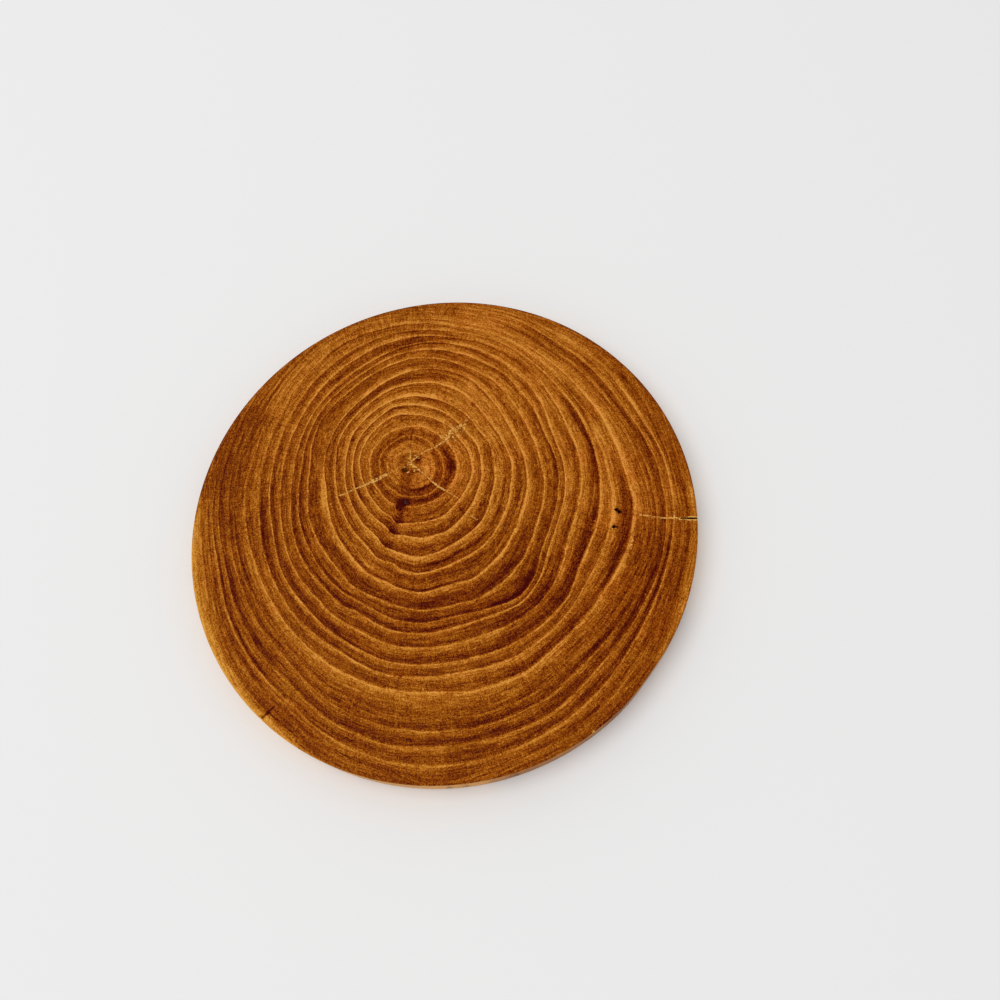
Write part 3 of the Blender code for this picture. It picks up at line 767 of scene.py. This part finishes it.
def check_cutter():
    """The open drying check: a torn wedge that closes inwards and downwards."""
    out, inn = Vector(CHECK_OUT), Vector(CHECK_IN)
    inward = (inn - out).normalized()
    side = Vector((-inward.y, inward.x))
    start = out - inward * 3.0
    total = (inn - start).length
    rows = []
    steps = 26
    for i in range(steps + 1):
        s = i / steps
        wander = 0.20 * math.sin(9.0 * s + 0.5) + 0.07 * math.sin(31.0 * s)
        shut = min(1.0, max(0.0, (total * s - 3.0 - 4.0) / 1.6))
        half = 0.34 * (1.0 - shut * shut * (3.0 - 2.0 * shut)) + 0.07 * (1.0 - s) + 0.03
        half *= 1.0 + 0.16 * math.sin(23.0 * s + 1.0)
        floor = THICK - 6.6 * (1.0 - 0.80 * s * s)
        middle = start + inward * (total * s) + side * wander
        row = []
        for f, h in ((-1.0, 17.0), (1.0, 17.0), (0.92, 14.2), (0.62, 12.0), (0.20, None),
                     (-0.20, None), (-0.66, 12.0), (-0.95, 14.2)):
            p = middle + side * (half * f)
            if h is None:
                z = floor
            elif h < 15.0:
                z = max(h, floor + 0.25 * (15.0 - h))
            else:
                z = h
            row.append((p.x, p.y, z))
        rows.append(row)
    return closed_from_rows("cut_check", rows)


def bore_cutter(index, x, y):
    """A round tunnel with a worn mouth and an uneven wall."""
    rows = []
    for h, r in ((-4.4, 0.42), (-3.8, 0.62), (-2.6, 0.70), (-1.2, 0.72), (-0.4, 0.74),
                 (-0.1, 0.78), (1.0, 0.84)):
        row = []
        for k in range(20):
            a = 2.0 * math.pi * k / 20
            q = r * (1.0 + 0.06 * math.sin(3 * a + index) + 0.03 * math.sin(5 * a + h))
            row.append((x + 0.10 * h * (index - 1) + q * math.cos(a), y + 0.05 * h + q * math.sin(a), THICK + h))
        rows.append(row)
    return closed_from_rows("cut_bore_%d" % index, rows)


def chip_cutter():
    """A splinter lost at the lower left of the edge."""
    rows = []
    reach = float(outline_radius(np.array([CHIP_ANGLE]))[0])
    lean = CHIP_ANGLE + math.radians(14.0)
    cx, cy = (reach + 1.55) * math.cos(CHIP_ANGLE), (reach + 1.55) * math.sin(CHIP_ANGLE)
    for i in range(11):
        u = -1.0 + 2.0 * (0.03 + 0.94 * i / 10)
        r = math.sqrt(1.0 - u * u)
        row = []
        for k in range(14):
            a = 2.0 * math.pi * k / 14
            jag = 1.0 + 0.05 * math.sin(4 * a + 3 * u)
            lx, lz = 2.3 * r * jag * math.cos(a), 3.4 * r * jag * math.sin(a)
            ly = 1.5 * u
            row.append((cx + lx * math.cos(lean) - ly * math.sin(lean),
                        cy + lx * math.sin(lean) + ly * math.cos(lean), THICK + 0.4 + lz))
        rows.append(row)
    return closed_from_rows("cut_chip", rows)


def cut(obj, cutters):
    """The object's mesh with these solids cut out, as a new mesh."""
    for c in cutters:
        mod = obj.modifiers.new(c.name, 'BOOLEAN')
        mod.operation = 'DIFFERENCE'
        mod.solver = 'MANIFOLD'
        mod.object = c
    bpy.context.view_layer.update()
    deps = bpy.context.evaluated_depsgraph_get()
    mesh = bpy.data.meshes.new_from_object(obj.evaluated_get(deps))
    obj.modifiers.clear()
    old = obj.data
    obj.data = mesh
    bpy.data.meshes.remove(old)
    for c in cutters:
        shape = c.data
        bpy.data.objects.remove(c, do_unlink=True)
        bpy.data.meshes.remove(shape)


# ---- values stored on the mesh ------------------------------------------

def angle_window(theta, a0, a1):
    """1 between two directions, with soft ends; also the fraction along."""
    middle = 0.5 * (a0 + a1)
    half = 0.5 * (a1 - a0)
    d = (theta - middle + 180.0) % 360.0 - 180.0
    soft = min(half, max(3.0, 0.35 * half))
    edge = np.clip((half - np.abs(d)) / soft, 0.0, 1.0)
    return edge * edge * (3.0 - 2.0 * edge), np.clip(0.5 + 0.5 * d / half, 0.0, 1.0)


def store(mesh, name, values):
    a = mesh.attributes.new(name, 'FLOAT', 'POINT')
    a.data.foreach_set("value", np.asarray(values, dtype=np.float32))


def store_values(mesh):
    n = len(mesh.vertices)
    co = np.empty(n * 3, dtype=np.float32)
    mesh.vertices.foreach_get("co", co)
    co = co.reshape(-1, 3).astype(float) * 1000.0
    x, y, z = co.T
    t, theta = ring_coordinate(x, y, z)
    r = np.hypot(x - CENTRE[0], y - CENTRE[1])
    a = np.arctan2(y, x)
    edge = outline_radius(a) - np.hypot(x, y)
    show = np.clip((z - 9.0) / 5.0, 0.0, 1.0)        # marks fade down the side

    shade = np.zeros(n)
    bend = t + 0.35 * wave(x, y, 19.0, 31)
    for t0, a0, t1, a1, half, strength in STREAKS:
        w, f = angle_window(theta, a0, a1)
        shade += strength * w * np.exp(-((bend - (t0 + (t1 - t0) * f)) / (1.15 * half)) ** 2)
    for px, py, size, strength in SPOTS:
        shade += strength * np.exp(-(np.hypot(x - px, y - py) / (0.95 * size)) ** 2) * show
    for line, width, strength in HAIRLINES:
        d, _ = to_line(x, y, line)
        shade += strength * np.exp(-(d / (0.55 * width)) ** 2) * show
    hue = np.zeros(n)
    # regional shade, partly painted light and partly the wood's own tone
    for px, py, spread, light, tint in REGIONS:
        w = np.exp(-((x - px) ** 2 + (y - py) ** 2) / (spread * spread))
        shade += light * w
        hue += tint * w

    # pale sapwood-like strips along the left and the right of the edge
    left = angle_window(np.degrees(a), 170.0, 246.0)[0]
    strip = left * np.exp(-((edge - 1.2) / 2.2) ** 2)
    shade += 0.38 * strip
    right = angle_window(np.degrees(a), -40.0, 14.0)[0] * np.exp(-((edge - 1.5) / 2.0) ** 2)
    shade += 0.26 * right
    hue -= 0.5 * right
    hue -= 1.0 * strip
    # painted shade: the rounded edge is painted darker, most along the far side and a little on the right
    painted_edge_shade = 1.0 - 0.7 * angle_window(np.degrees(a), -60.0, 20.0)[0] - angle_window(np.degrees(a), -190.0, -36.0)[0]
    shade -= 0.26 * np.clip(painted_edge_shade, 0.0, 1.0) * np.exp(-((edge - 0.35) / 0.42) ** 2)
    # painted highlight: the rounded edge is painted paler at the left, where it turns towards the light
    shade += 0.30 * angle_window(np.degrees(a), 176.0, 262.0)[0] * np.exp(-((edge - 0.5) / 0.5) ** 2)
    # the foot of the rays by the inclusion is redder
    red = np.exp(-((x + 20.2) ** 2 + (y - 2.2) ** 2) / 60.0)
    hue += 0.5 * red + 0.35 * np.exp(-((x - 1.2) ** 2 + (y - 23.2) ** 2) / 160.0)

    # contrast of the rings: soft towards the top and upper left of the edge
    gain = np.ones(n)
    for a0, a1, t0, t1, drop in ((66, 205, 99, 112, 0.50), (18, 84, 91, 99, 0.45),
                                 (20, 70, 24, 30, 0.25), (204, 350, 122, 130, 0.15),
                                 (84, 170, 118, 126, 0.25)):
        gain *= 1.0 - drop * angle_window(theta, a0, a1)[0] * np.clip((t - t0) / (t1 - t0), 0.0, 1.0)

    rays = 0.45 + 0.0 * t
    for a0, a1, t0, t1, more in ((70, 150, 80, 150, 0.75), (280, 350, 70, 155, 0.15),
                                 (196, 262, 56, 80, 0.35), (20, 70, 20, 60, 0.35),
                                 (150, 215, 92, 140, 0.40)):
        rays += more * angle_window(theta, a0, a1)[0] * np.clip((t - t0) / 8.0, 0, 1) * np.clip((t1 - t) / 8.0, 0, 1)
    rays *= np.clip((r - 6.0) / 12.0, 0.0, 1.0)

    dust = np.zeros(n)
    for line, width, amount, _ in CRACKS:
        d, along = to_line(x, y, line)
        ends = np.clip(np.minimum(along, 1.0 - along) * 10.0 + 0.45, 0.0, 1.0)
        dust = np.maximum(dust, amount * ends * np.exp(-(d / (0.78 * width)) ** 2.5))
    for px, py, size, amount in FLECKS:
        dust = np.maximum(dust, amount * np.exp(-(np.hypot(x - px, y - py) / (0.95 * size)) ** 2))
    dust *= show * np.clip((z - 13.6) / 0.8, 0.0, 1.0)

    # painted shade in hollows: the further a point lies below the face, inside the edge, the darker it is painted
    deep = np.where(edge > 1.15, np.clip((THICK - 0.28 - z) / 0.9, 0.0, 1.0), 0.0)
    deep = np.where(z < 1.0, 0.0, deep)
    # painted shade in the open check and its mouth
    inside_check = (np.abs(y - 0.3) < 1.0) & (x > 110.0) & (z > 7.5) & (z < THICK - 0.25)
    d = np.abs(y - 0.3)
    deep = np.where(inside_check & (d < 0.55), np.maximum(deep, 0.97), deep)
    mouth = (d < 0.40) & (x > 115.5) & (z > 9.0)
    deep = np.where(mouth, 0.97, deep)
    # painted shade in the bore tunnels
    for bx, by in BORES:
        deep = np.maximum(deep, 0.9 * show * np.exp(-(np.hypot(x - bx, y - by) / 1.02) ** 6))
    # the pith hollow is painted less dark
    rho = np.hypot(x - HOLLOW[0], y - HOLLOW[1])
    deep = np.where(rho < 2.6, np.minimum(deep, 0.6), deep)
    # the dark core of the inclusion is the wood's own colour, kept in the same mask
    core = np.exp(-(np.hypot(x + 18.6, (y - 8.3) * 0.7) / 1.35) ** 2) * (1.0 + 0.5 * wave(x, y, 1.4, 14))
    deep = np.maximum(deep, np.clip(0.72 * core * show, 0.0, 0.8))

    side = np.clip((0.75 - edge) / 0.6, 0.0, 1.0) * np.clip((THICK - 0.25 - z) / 0.5, 0.0, 1.0)
    side = np.where(z < 0.6, side * z / 0.6, side)
    side *= 1.0 - 0.6 * angle_window(np.degrees(a), -84.0, -14.0)[0]      # painted shade: less of the pale side colour towards the lower right, which faces away from the light

    ash = 0.8 * np.exp(-(np.hypot(x + 18.5, (y - 8.4) * 0.5) / 0.7) ** 2) * show

    store(mesh, "ring", t)
    store(mesh, "shade", shade)
    store(mesh, "gain", gain)
    store(mesh, "rays", rays)
    store(mesh, "hue", np.clip(hue, -1.0, 1.0))
    store(mesh, "dust", dust)
    store(mesh, "deep", deep)
    store(mesh, "side", side)
    store(mesh, "ash", ash)


def store_map(mesh):
    """A flat layout: show face, underside and four strips of the edge."""
    n = len(mesh.vertices)
    co = np.empty(n * 3, dtype=np.float32)
    mesh.vertices.foreach_get("co", co)
    co = co.reshape(-1, 3).astype(float) * 1000.0
    loops = len(mesh.loops)
    vert = np.empty(loops, dtype=np.int32)
    mesh.loops.foreach_get("vertex_index", vert)
    poly = np.empty(loops, dtype=np.int64)
    start = np.empty(len(mesh.polygons), dtype=np.int32)
    total = np.empty(len(mesh.polygons), dtype=np.int32)
    mesh.polygons.foreach_get("loop_start", start)
    mesh.polygons.foreach_get("loop_total", total)
    for k in range(int(total.max())):
        ok = total > k
        poly[start[ok] + k] = np.nonzero(ok)[0]
    centre = np.empty(len(mesh.polygons) * 3, dtype=np.float32)
    mesh.polygons.foreach_get("center", centre)
    centre = centre.reshape(-1, 3).astype(float) * 1000.0
    ca = np.arctan2(centre[:, 1], centre[:, 0])
    edge = outline_radius(ca) - np.hypot(centre[:, 0], centre[:, 1])
    is_side = edge < edge_round(ca) - 0.004
    is_low = (~is_side) & (centre[:, 2] < 2.0)
    p = co[vert]
    uv = np.empty((loops, 2))
    # show face in a square of 0.655, underside in one of 0.335
    uv[:, 0] = 0.002 + 0.651 * (p[:, 0] / 252.4 + 0.5)
    uv[:, 1] = 0.346 + 0.651 * (p[:, 1] / 252.4 + 0.5)
    low = is_low[poly]
    uv[low, 0] = 0.664 + 0.333 * (p[low, 0] / 252.4 + 0.5)
    uv[low, 1] = 0.664 + 0.333 * (p[low, 1] / 252.4 + 0.5)
    side = is_side[poly]
    quarter = np.floor((ca + np.pi) / (0.5 * np.pi)).clip(0, 3)[poly][side]
    pa = np.arctan2(p[side, 1], p[side, 0])
    mid = ca[poly][side]
    pa = mid + (pa - mid + np.pi) % (2.0 * np.pi) - np.pi
    f = (pa + np.pi) / (0.5 * np.pi) - quarter
    pr = outline_radius(pa) - np.hypot(p[side, 0], p[side, 1])
    v = p[side, 2] + np.where(p[side, 2] > 7.5, 1.0, -1.0) * np.clip(pr, 0.0, 3.0)
    uv[side, 0] = 0.004 + 0.62 * f
    uv[side, 1] = 0.010 + 0.082 * quarter + 0.066 * (v + 1.2) / (THICK + 2.4)
    layer = mesh.uv_layers.new(name="OFBake")
    layer.data.foreach_set("uv", uv.astype(np.float32).ravel())


# ---- material -----------------------------------------------------------

class Net:
    """Short calls to build a node tree."""

    def __init__(self, tree):
        self.tree = tree

    def new(self, kind, **props):
        n = self.tree.nodes.new(kind)
        for k, v in props.items():
            setattr(n, k, v)
        return n

    def link(self, a, b):
        self.tree.links.new(a, b)

    def put(self, socket, value):
        if isinstance(value, (int, float)):
            socket.default_value = value
        elif isinstance(value, (tuple, list)):
            socket.default_value = value
        else:
            self.link(value, socket)

    def math(self, op, *values, clamp=False):
        n = self.new('ShaderNodeMath', operation=op, use_clamp=clamp)
        for s, v in zip(n.inputs, values):
            self.put(s, v)
        return n.outputs[0]

    def add(self, a, b):
        return self.math('ADD', a, b)

    def mul(self, a, b):
        return self.math('MULTIPLY', a, b)

    def vec(self, op, *values):
        n = self.new('ShaderNodeVectorMath', operation=op)
        for s, v in zip(n.inputs, values):
            if isinstance(v, (int, float)):
                s.default_value = (v, v, v)
            else:
                self.put(s, v)
        return n.outputs[0]

    def scaled(self, v, k):
        n = self.new('ShaderNodeVectorMath', operation='SCALE')
        self.put(n.inputs[0], v)
        self.put(n.inputs['Scale'], k)
        return n.outputs[0]

    def xyz(self, x, y, z):
        n = self.new('ShaderNodeCombineXYZ')
        for s, v in zip(n.inputs, (x, y, z)):
            self.put(s, v)
        return n.outputs[0]

    def attribute(self, name):
        n = self.new('ShaderNodeAttribute', attribute_type='GEOMETRY', attribute_name=name)
        return n.outputs['Fac']

    def noise(self, vector, scale, detail=2.0, rough=0.5, warp=0.0):
        n = self.new('ShaderNodeTexNoise', noise_dimensions='3D')
        self.link(vector, n.inputs['Vector'])
        n.inputs['Scale'].default_value = scale
        n.inputs['Detail'].default_value = detail
        n.inputs['Roughness'].default_value = rough
        n.inputs['Distortion'].default_value = warp
        return n.outputs['Fac']

    def range(self, value, a, b, c, d, smooth=False):
        n = self.new('ShaderNodeMapRange', clamp=True)
        if smooth:
            n.interpolation_type = 'SMOOTHSTEP'
        self.put(n.inputs['Value'], value)
        for name, v in zip(('From Min', 'From Max', 'To Min', 'To Max'), (a, b, c, d)):
            n.inputs[name].default_value = v
        return n.outputs['Result']

    def ramp(self, value, stops, kind='LINEAR'):
        n = self.new('ShaderNodeValToRGB')
        r = n.color_ramp
        r.interpolation = kind
        while len(r.elements) > 1:
            r.elements.remove(r.elements[-1])
        r.elements[0].position = stops[0][0]
        r.elements[0].color = stops[0][1]
        for pos, colour in stops[1:]:
            e = r.elements.new(pos)
            e.color = colour
        self.put(n.inputs['Fac'], value)
        return n.outputs['Color']

    def mix(self, f, a, b, kind='MIX'):
        n = self.new('ShaderNodeMix', data_type='RGBA', blend_type=kind, clamp_factor=True)
        self.put(n.inputs[0], f)
        self.put(n.inputs[6], a)
        self.put(n.inputs[7], b)
        return n.outputs[2]


def year_stops():
    """The shade of the wood against the ring coordinate, year by year."""
    points = [(0.0, 0.56)]
    for k, (place, late, pale, after, middle, width) in enumerate(YEARS):
        nxt = YEARS[k + 1][0] if k + 1 < len(YEARS) else 172.0
        late_next = YEARS[k + 1][1] if k + 1 < len(YEARS) else 0.42
        gap = nxt - place
        points.append((place - 0.95 * width - 0.10, late))
        points.append((place - 0.42 * width, late + 0.38 * (pale - late)))
        points.append((place - 0.05, pale))
        points.append((place + 0.70 * width, pale + 0.62 * (after - pale)))
        if gap > 3.6:
            points.append((place + 1.9 * width, after))
        if gap > 5.0:
            points.append((place + 0.52 * gap, middle))
        if gap > 6.5:
            points.append((place + 0.78 * gap, 0.45 * middle + 0.55 * late_next))
    return sorted(points)


LIGHT = 1.09       # brightness of a white surface lying where the slice lies
GLOSS = 0.0042     # what the satin finish adds to it


def wood_material():
    mat = bpy.data.materials.new("elm_oiled")
    mat.use_nodes = True
    tree = mat.node_tree
    tree.nodes.clear()
    net = Net(tree)
    out = net.new('ShaderNodeOutputMaterial')
    bsdf = net.new('ShaderNodeBsdfPrincipled')
    net.link(bsdf.outputs[0], out.inputs[0])

    coord = net.new('ShaderNodeTexCoord')
    mm = net.scaled(coord.outputs['Object'], 1000.0)
    sep = net.new('ShaderNodeSeparateXYZ')
    net.link(net.vec('SUBTRACT', mm, (CENTRE[0], CENTRE[1], 0.0)), sep.inputs[0])
    flat = net.xyz(sep.outputs[0], sep.outputs[1], 0.0)
    way = net.vec('NORMALIZE', flat)
    height = sep.outputs[2]
    size = net.new('ShaderNodeVectorMath', operation='LENGTH')
    net.link(flat, size.inputs[0])
    radius = size.outputs['Value']

    ring_flat = net.attribute("ring")
    wobble = net.noise(mm, 0.07, 2.0, 0.5)
    shiver = net.noise(mm, 0.42, 2.0, 0.55)
    ring = net.add(ring_flat, net.add(net.mul(net.math('SUBTRACT', wobble, 0.5), 1.1),
                                      net.mul(net.math('SUBTRACT', shiver, 0.5), 0.75)))

    # shade of each year, from seven ramps that cover the slice in turn
    stops = year_stops()
    cuts = (0.0, 20.0, 40.0, 62.0, 86.0, 112.0, 140.0, 170.0)
    tx = np.array([p for p, _ in stops])
    tv = np.array([v for _, v in stops])
    total = None
    for lo, hi in zip(cuts, cuts[1:]):
        inner = [(p, v) for p, v in stops if lo + 0.05 < p < hi - 0.05]
        use = [(lo, float(np.interp(lo, tx, tv)))] + inner + [(hi, float(np.interp(hi, tx, tv)))]
        assert len(use) <= 32, len(use)
        f = net.math('DIVIDE', net.math('SUBTRACT', ring, lo), hi - lo)
        piece = net.ramp(f, [((p - lo) / (hi - lo), (v, v, v, 1.0)) for p, v in use])
        bw = net.new('ShaderNodeSeparateColor')
        net.link(piece, bw.inputs[0])
        value = bw.outputs[0]
        total = value if total is None else net.add(total, net.math('SUBTRACT', value, float(np.interp(lo, tx, tv))))
    base = net.math('SUBTRACT', total, 0.46)

    # wood texture, in directions that follow the rings and the rays
    tall = net.mul(height, 0.05)
    along = net.scaled(way, 5.0)
    lines_a = net.noise(net.vec('ADD', along, net.xyz(0.0, tall, net.mul(ring, 0.62))), 1.0, 3.0, 0.62)
    lines_b = net.noise(net.vec('ADD', net.scaled(way, 16.0), net.xyz(tall, 0.0, net.mul(ring, 1.7))), 1.0, 2.0, 0.6, 0.3)
    ray_way = net.scaled(way, 78.0)
    ray_a = net.noise(net.vec('ADD', ray_way, net.xyz(0.0, tall, net.mul(ring, 0.055))), 1.0, 2.0, 0.6)
    ray_b = net.noise(net.vec('ADD', net.scaled(way, 190.0), net.xyz(0.0, tall, net.mul(ring, 0.16))), 1.0, 1.0, 0.5)
    grit = net.noise(net.vec('MULTIPLY', mm, (1.0, 1.0, 0.12)), 1.35, 2.0, 0.6)
    fine = net.noise(net.vec('MULTIPLY', mm, (1.0, 1.0, 0.12)), 3.1, 1.0, 0.5)
    blotch = net.noise(mm, 0.045, 2.0, 0.5)

    def part(value, k):
        return net.mul(net.math('SUBTRACT', value, 0.5), k)

    gain = net.attribute("gain")
    rays = net.attribute("rays")
    # first wood is made of open vessels, so the pale lines are beaded
    bead = net.add(1.0, part(net.noise(net.vec('ADD', net.scaled(way, 60.0), net.xyz(0.0, tall, net.mul(ring, 0.7))), 1.0, 1.0, 0.5), 1.5))
    pale = net.math('MAXIMUM', base, 0.0)
    dark = net.math('MINIMUM', base, 0.0)
    tone = net.add(net.mul(net.mul(pale, bead), 1.60), net.mul(dark, 1.80))
    tone = net.add(net.mul(tone, gain), 0.452)
    tone = net.add(tone, net.mul(net.attribute("shade"), 1.06))
    tone = net.add(tone, part(lines_a, 0.98))
    tone = net.add(tone, part(lines_b, 0.96))
    tone = net.add(tone, net.mul(part(ray_a, 0.46), rays))
    tone = net.add(tone, net.mul(part(ray_b, 0.56), rays))
    tone = net.add(tone, part(grit, 0.92))
    tone = net.add(tone, part(fine, 1.62))
    tone = net.add(tone, part(blotch, 0.16))
    pores = net.range(grit, 0.60, 0.68, 0.0, 1.0, True)
    tone = net.math('SUBTRACT', tone, net.mul(pores, 0.07))
    side = net.attribute("side")
    tone = net.math('MAXIMUM', net.math('MINIMUM', tone, 1.15), -0.05)

    shades = (
        (-0.15, (44, 12, 3)), (-0.06, (64, 15, 2)), (0.03, (84, 22, 1)), (0.15, (101, 36, 1)), (0.21, (110, 44, 2)),
        (0.29, (121, 53, 4)), (0.35, (129, 60, 6)), (0.41, (136, 66, 8)), (0.46, (143, 72, 12)),
        (0.52, (149, 79, 16)), (0.575, (157, 86, 20)), (0.65, (169, 96, 25)), (0.76, (182, 108, 32)),
        (0.83, (191, 118, 38)), (0.975, (212, 136, 51)), (1.15, (228, 156, 72)),
    )
    lo, hi = -0.15, 1.15
    f = net.math('DIVIDE', net.math('SUBTRACT', tone, lo), hi - lo)
    colour = net.ramp(f, [((p - lo) / (hi - lo), srgb(*c, light=LIGHT, gloss=GLOSS)) for p, c in shades])

    hue = net.attribute("hue")
    drift = part(net.noise(mm, 0.11, 2.0, 0.5), 1.6)
    hue = net.add(hue, drift)
    colour = net.mix(net.math('MULTIPLY', net.math('MAXIMUM', hue, 0.0), 0.55, clamp=True), colour,
                     net.mix(1.0, colour, (1.06, 0.81, 0.88, 1.0), 'MULTIPLY'))
    colour = net.mix(net.math('MULTIPLY', net.math('MAXIMUM', net.mul(hue, -1.0), 0.0), 0.55, clamp=True), colour,
                     net.mix(1.0, colour, (0.97, 1.11, 0.90, 1.0), 'MULTIPLY'))

    # the turned side was never oiled: paler and pinker, with end stains
    stain = net.range(net.noise(net.vec('MULTIPLY', mm, (1.0, 1.0, 0.25)), 0.10, 3.0, 0.6), 0.52, 0.66, 0.0, 1.0, True)
    bare = net.mix(net.math('MULTIPLY', net.math('SUBTRACT', 1.0, tone), 0.55, clamp=True),
                   srgb(236, 182, 112), srgb(196, 128, 60))
    bare = net.mix(net.mul(stain, 0.62), bare, srgb(120, 76, 36))
    colour = net.mix(net.mul(side, 0.86), colour, bare)

    # dust in the cracks, broken into grains
    grains = net.noise(mm, 1.45, 2.0, 0.6)
    loose = net.range(grains, 0.38, 0.60, 0.0, 1.0)
    dust = net.attribute("dust")
    cover = net.range(net.mul(dust, net.add(0.30, net.mul(loose, 0.90))), 0.26, 0.56, 0.0, 1.0, True)
    grime = net.mul(net.range(dust, 0.06, 0.45, 0.0, 1.0), net.math('SUBTRACT', 1.0, loose))
    colour = net.mix(net.mul(grime, 0.42), colour, srgb(84, 30, 4, light=LIGHT))
    lit = net.range(net.noise(mm, 2.6, 1.0, 0.5), 0.40, 0.62, 0.0, 1.0)
    colour = net.mix(net.mul(cover, 0.88), colour, net.mix(lit, srgb(212, 142, 56, light=LIGHT), srgb(248, 194, 106, light=LIGHT)))

    # painted shade in hollows, the check and the bores, and the real dark core of the inclusion
    deep = net.attribute("deep")
    colour = net.mix(net.mul(deep, 0.93), colour, srgb(34, 10, 2, light=LIGHT))
    ash = net.range(net.add(net.attribute("ash"), part(grains, 0.8)), 0.40, 0.75, 0.0, 1.0, True)
    colour = net.mix(net.mul(ash, 0.8), colour, srgb(118, 104, 106, light=LIGHT))
    net.link(colour, bsdf.inputs['Base Color'])

    rough = net.add(0.50, net.mul(net.math('SUBTRACT', tone, 0.46), 0.22))
    rough = net.add(rough, part(grit, 0.20))
    rough = net.add(rough, net.mul(cover, 0.30))
    rough = net.math('MINIMUM', rough, 0.95)
    net.link(rough, bsdf.inputs['Roughness'])
    bsdf.inputs['Specular IOR Level'].default_value = 0.022
    bsdf.inputs['Metallic'].default_value = 0.0

    heights = net.add(net.mul(part(grit, 1.0), 1.0), net.mul(part(fine, 1.0), 0.8))
    heights = net.add(heights, net.mul(part(lines_b, 1.0), 0.7))
    heights = net.add(heights, net.mul(net.mul(part(ray_b, 1.0), rays), 0.6))
    heights = net.math('SUBTRACT', heights, net.mul(pores, 0.35))
    heights = net.add(heights, net.mul(cover, net.mul(grains, 0.8)))
    bump = net.new('ShaderNodeBump')
    bump.inputs['Strength'].default_value = 0.32
    bump.inputs['Distance'].default_value = 0.00010
    net.link(heights, bump.inputs['Height'])
    net.link(bump.outputs[0], bsdf.inputs['Normal'])
    return mat


def floor_material():
    mat = bpy.data.materials.new("plain_floor")
    mat.use_nodes = True
    b = mat.node_tree.nodes["Principled BSDF"]
    b.inputs["Base Color"].default_value = (0.82, 0.82, 0.82, 1.0)
    b.inputs["Roughness"].default_value = 0.9
    b.inputs["Specular IOR Level"].default_value = 0.0
    return mat


# ---- scene --------------------------------------------------------------

def make_slice():
    points, faces = whole_slice()
    for pad, longest in ((1.8, 1.0), (0.9, 0.6), (0.45, 0.4), (0.2, 0.28)):
        points, faces = refine(points, faces, lambda m, size, pad=pad, longest=longest: near_marks(m, pad) & (size > longest))
    points = carve_face(points)
    obj = mesh_object("wood_slice_grown", points, faces)
    cutters = [check_cutter(), chip_cutter()]
    cutters += [bore_cutter(k, x, y) for k, (x, y) in enumerate(BORES)]
    cut(obj, cutters)
    mesh = obj.data
    store_values(mesh)
    store_map(mesh)
    mesh.materials.clear()
    mesh.materials.append(wood_material())
    mesh.shade_smooth()
    mesh.set_sharp_from_angle(angle=math.radians(42.0))
    return obj


def make_floor():
    bm = bmesh.new()
    bmesh.ops.create_grid(bm, x_segments=1, y_segments=1, size=4.0)
    mesh = bpy.data.meshes.new("floor")
    bm.to_mesh(mesh)
    bm.free()
    obj = bpy.data.objects.new("floor", mesh)
    mesh.materials.append(floor_material())
    bpy.context.scene.collection.objects.link(obj)
    return obj


def area_light(name, place, aim, size, power, colour):
    data = bpy.data.lights.new(name, 'AREA')
    data.shape = 'DISK'
    data.size = size
    data.energy = power
    data.color = colour
    obj = bpy.data.objects.new(name, data)
    obj.location = place
    obj.rotation_euler = (Vector(aim) - Vector(place)).to_track_quat('-Z', 'Y').to_euler()
    bpy.context.scene.collection.objects.link(obj)
    return obj


def make_lights():
    area_light("key", (-1.5, -0.3, 3.6), (0.0, 0.0, 0.0), 3.4, 62.5, (1.0, 1.0, 1.0))
    world = bpy.data.worlds.new("studio")
    world.use_nodes = True
    back = world.node_tree.nodes["Background"]
    back.inputs[0].default_value = (1.0, 1.0, 1.0, 1.0)
    back.inputs[1].default_value = 0.69
    bpy.context.scene.world = world


def make_camera():
    data = bpy.data.cameras.new("camera")
    data.sensor_width = 36.0
    data.lens = 32.258
    data.clip_start = 0.01
    data.clip_end = 20.0
    obj = bpy.data.objects.new("camera", data)
    right = (0.99812482, 0.02685191, -0.05500754)
    up = (-0.00378943, 0.92402874, 0.38230421)
    back = (0.06109414, -0.38137888, 0.92239778)
    place = (0.05514, -0.15845, 0.42102)
    obj.matrix_world = Matrix(((right[0], up[0], back[0], place[0]),
                               (right[1], up[1], back[1], place[1]),
                               (right[2], up[2], back[2], place[2]),
                               (0.0, 0.0, 0.0, 1.0)))
    bpy.context.scene.collection.objects.link(obj)
    bpy.context.scene.camera = obj


make_camera()
slice_piece = make_slice()
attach(slice_piece, "root")
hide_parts("wood_slice")
make_floor()
make_lights()
bpy.context.scene.view_settings.view_transform = 'Standard'

bpy.context.view_layer.update()
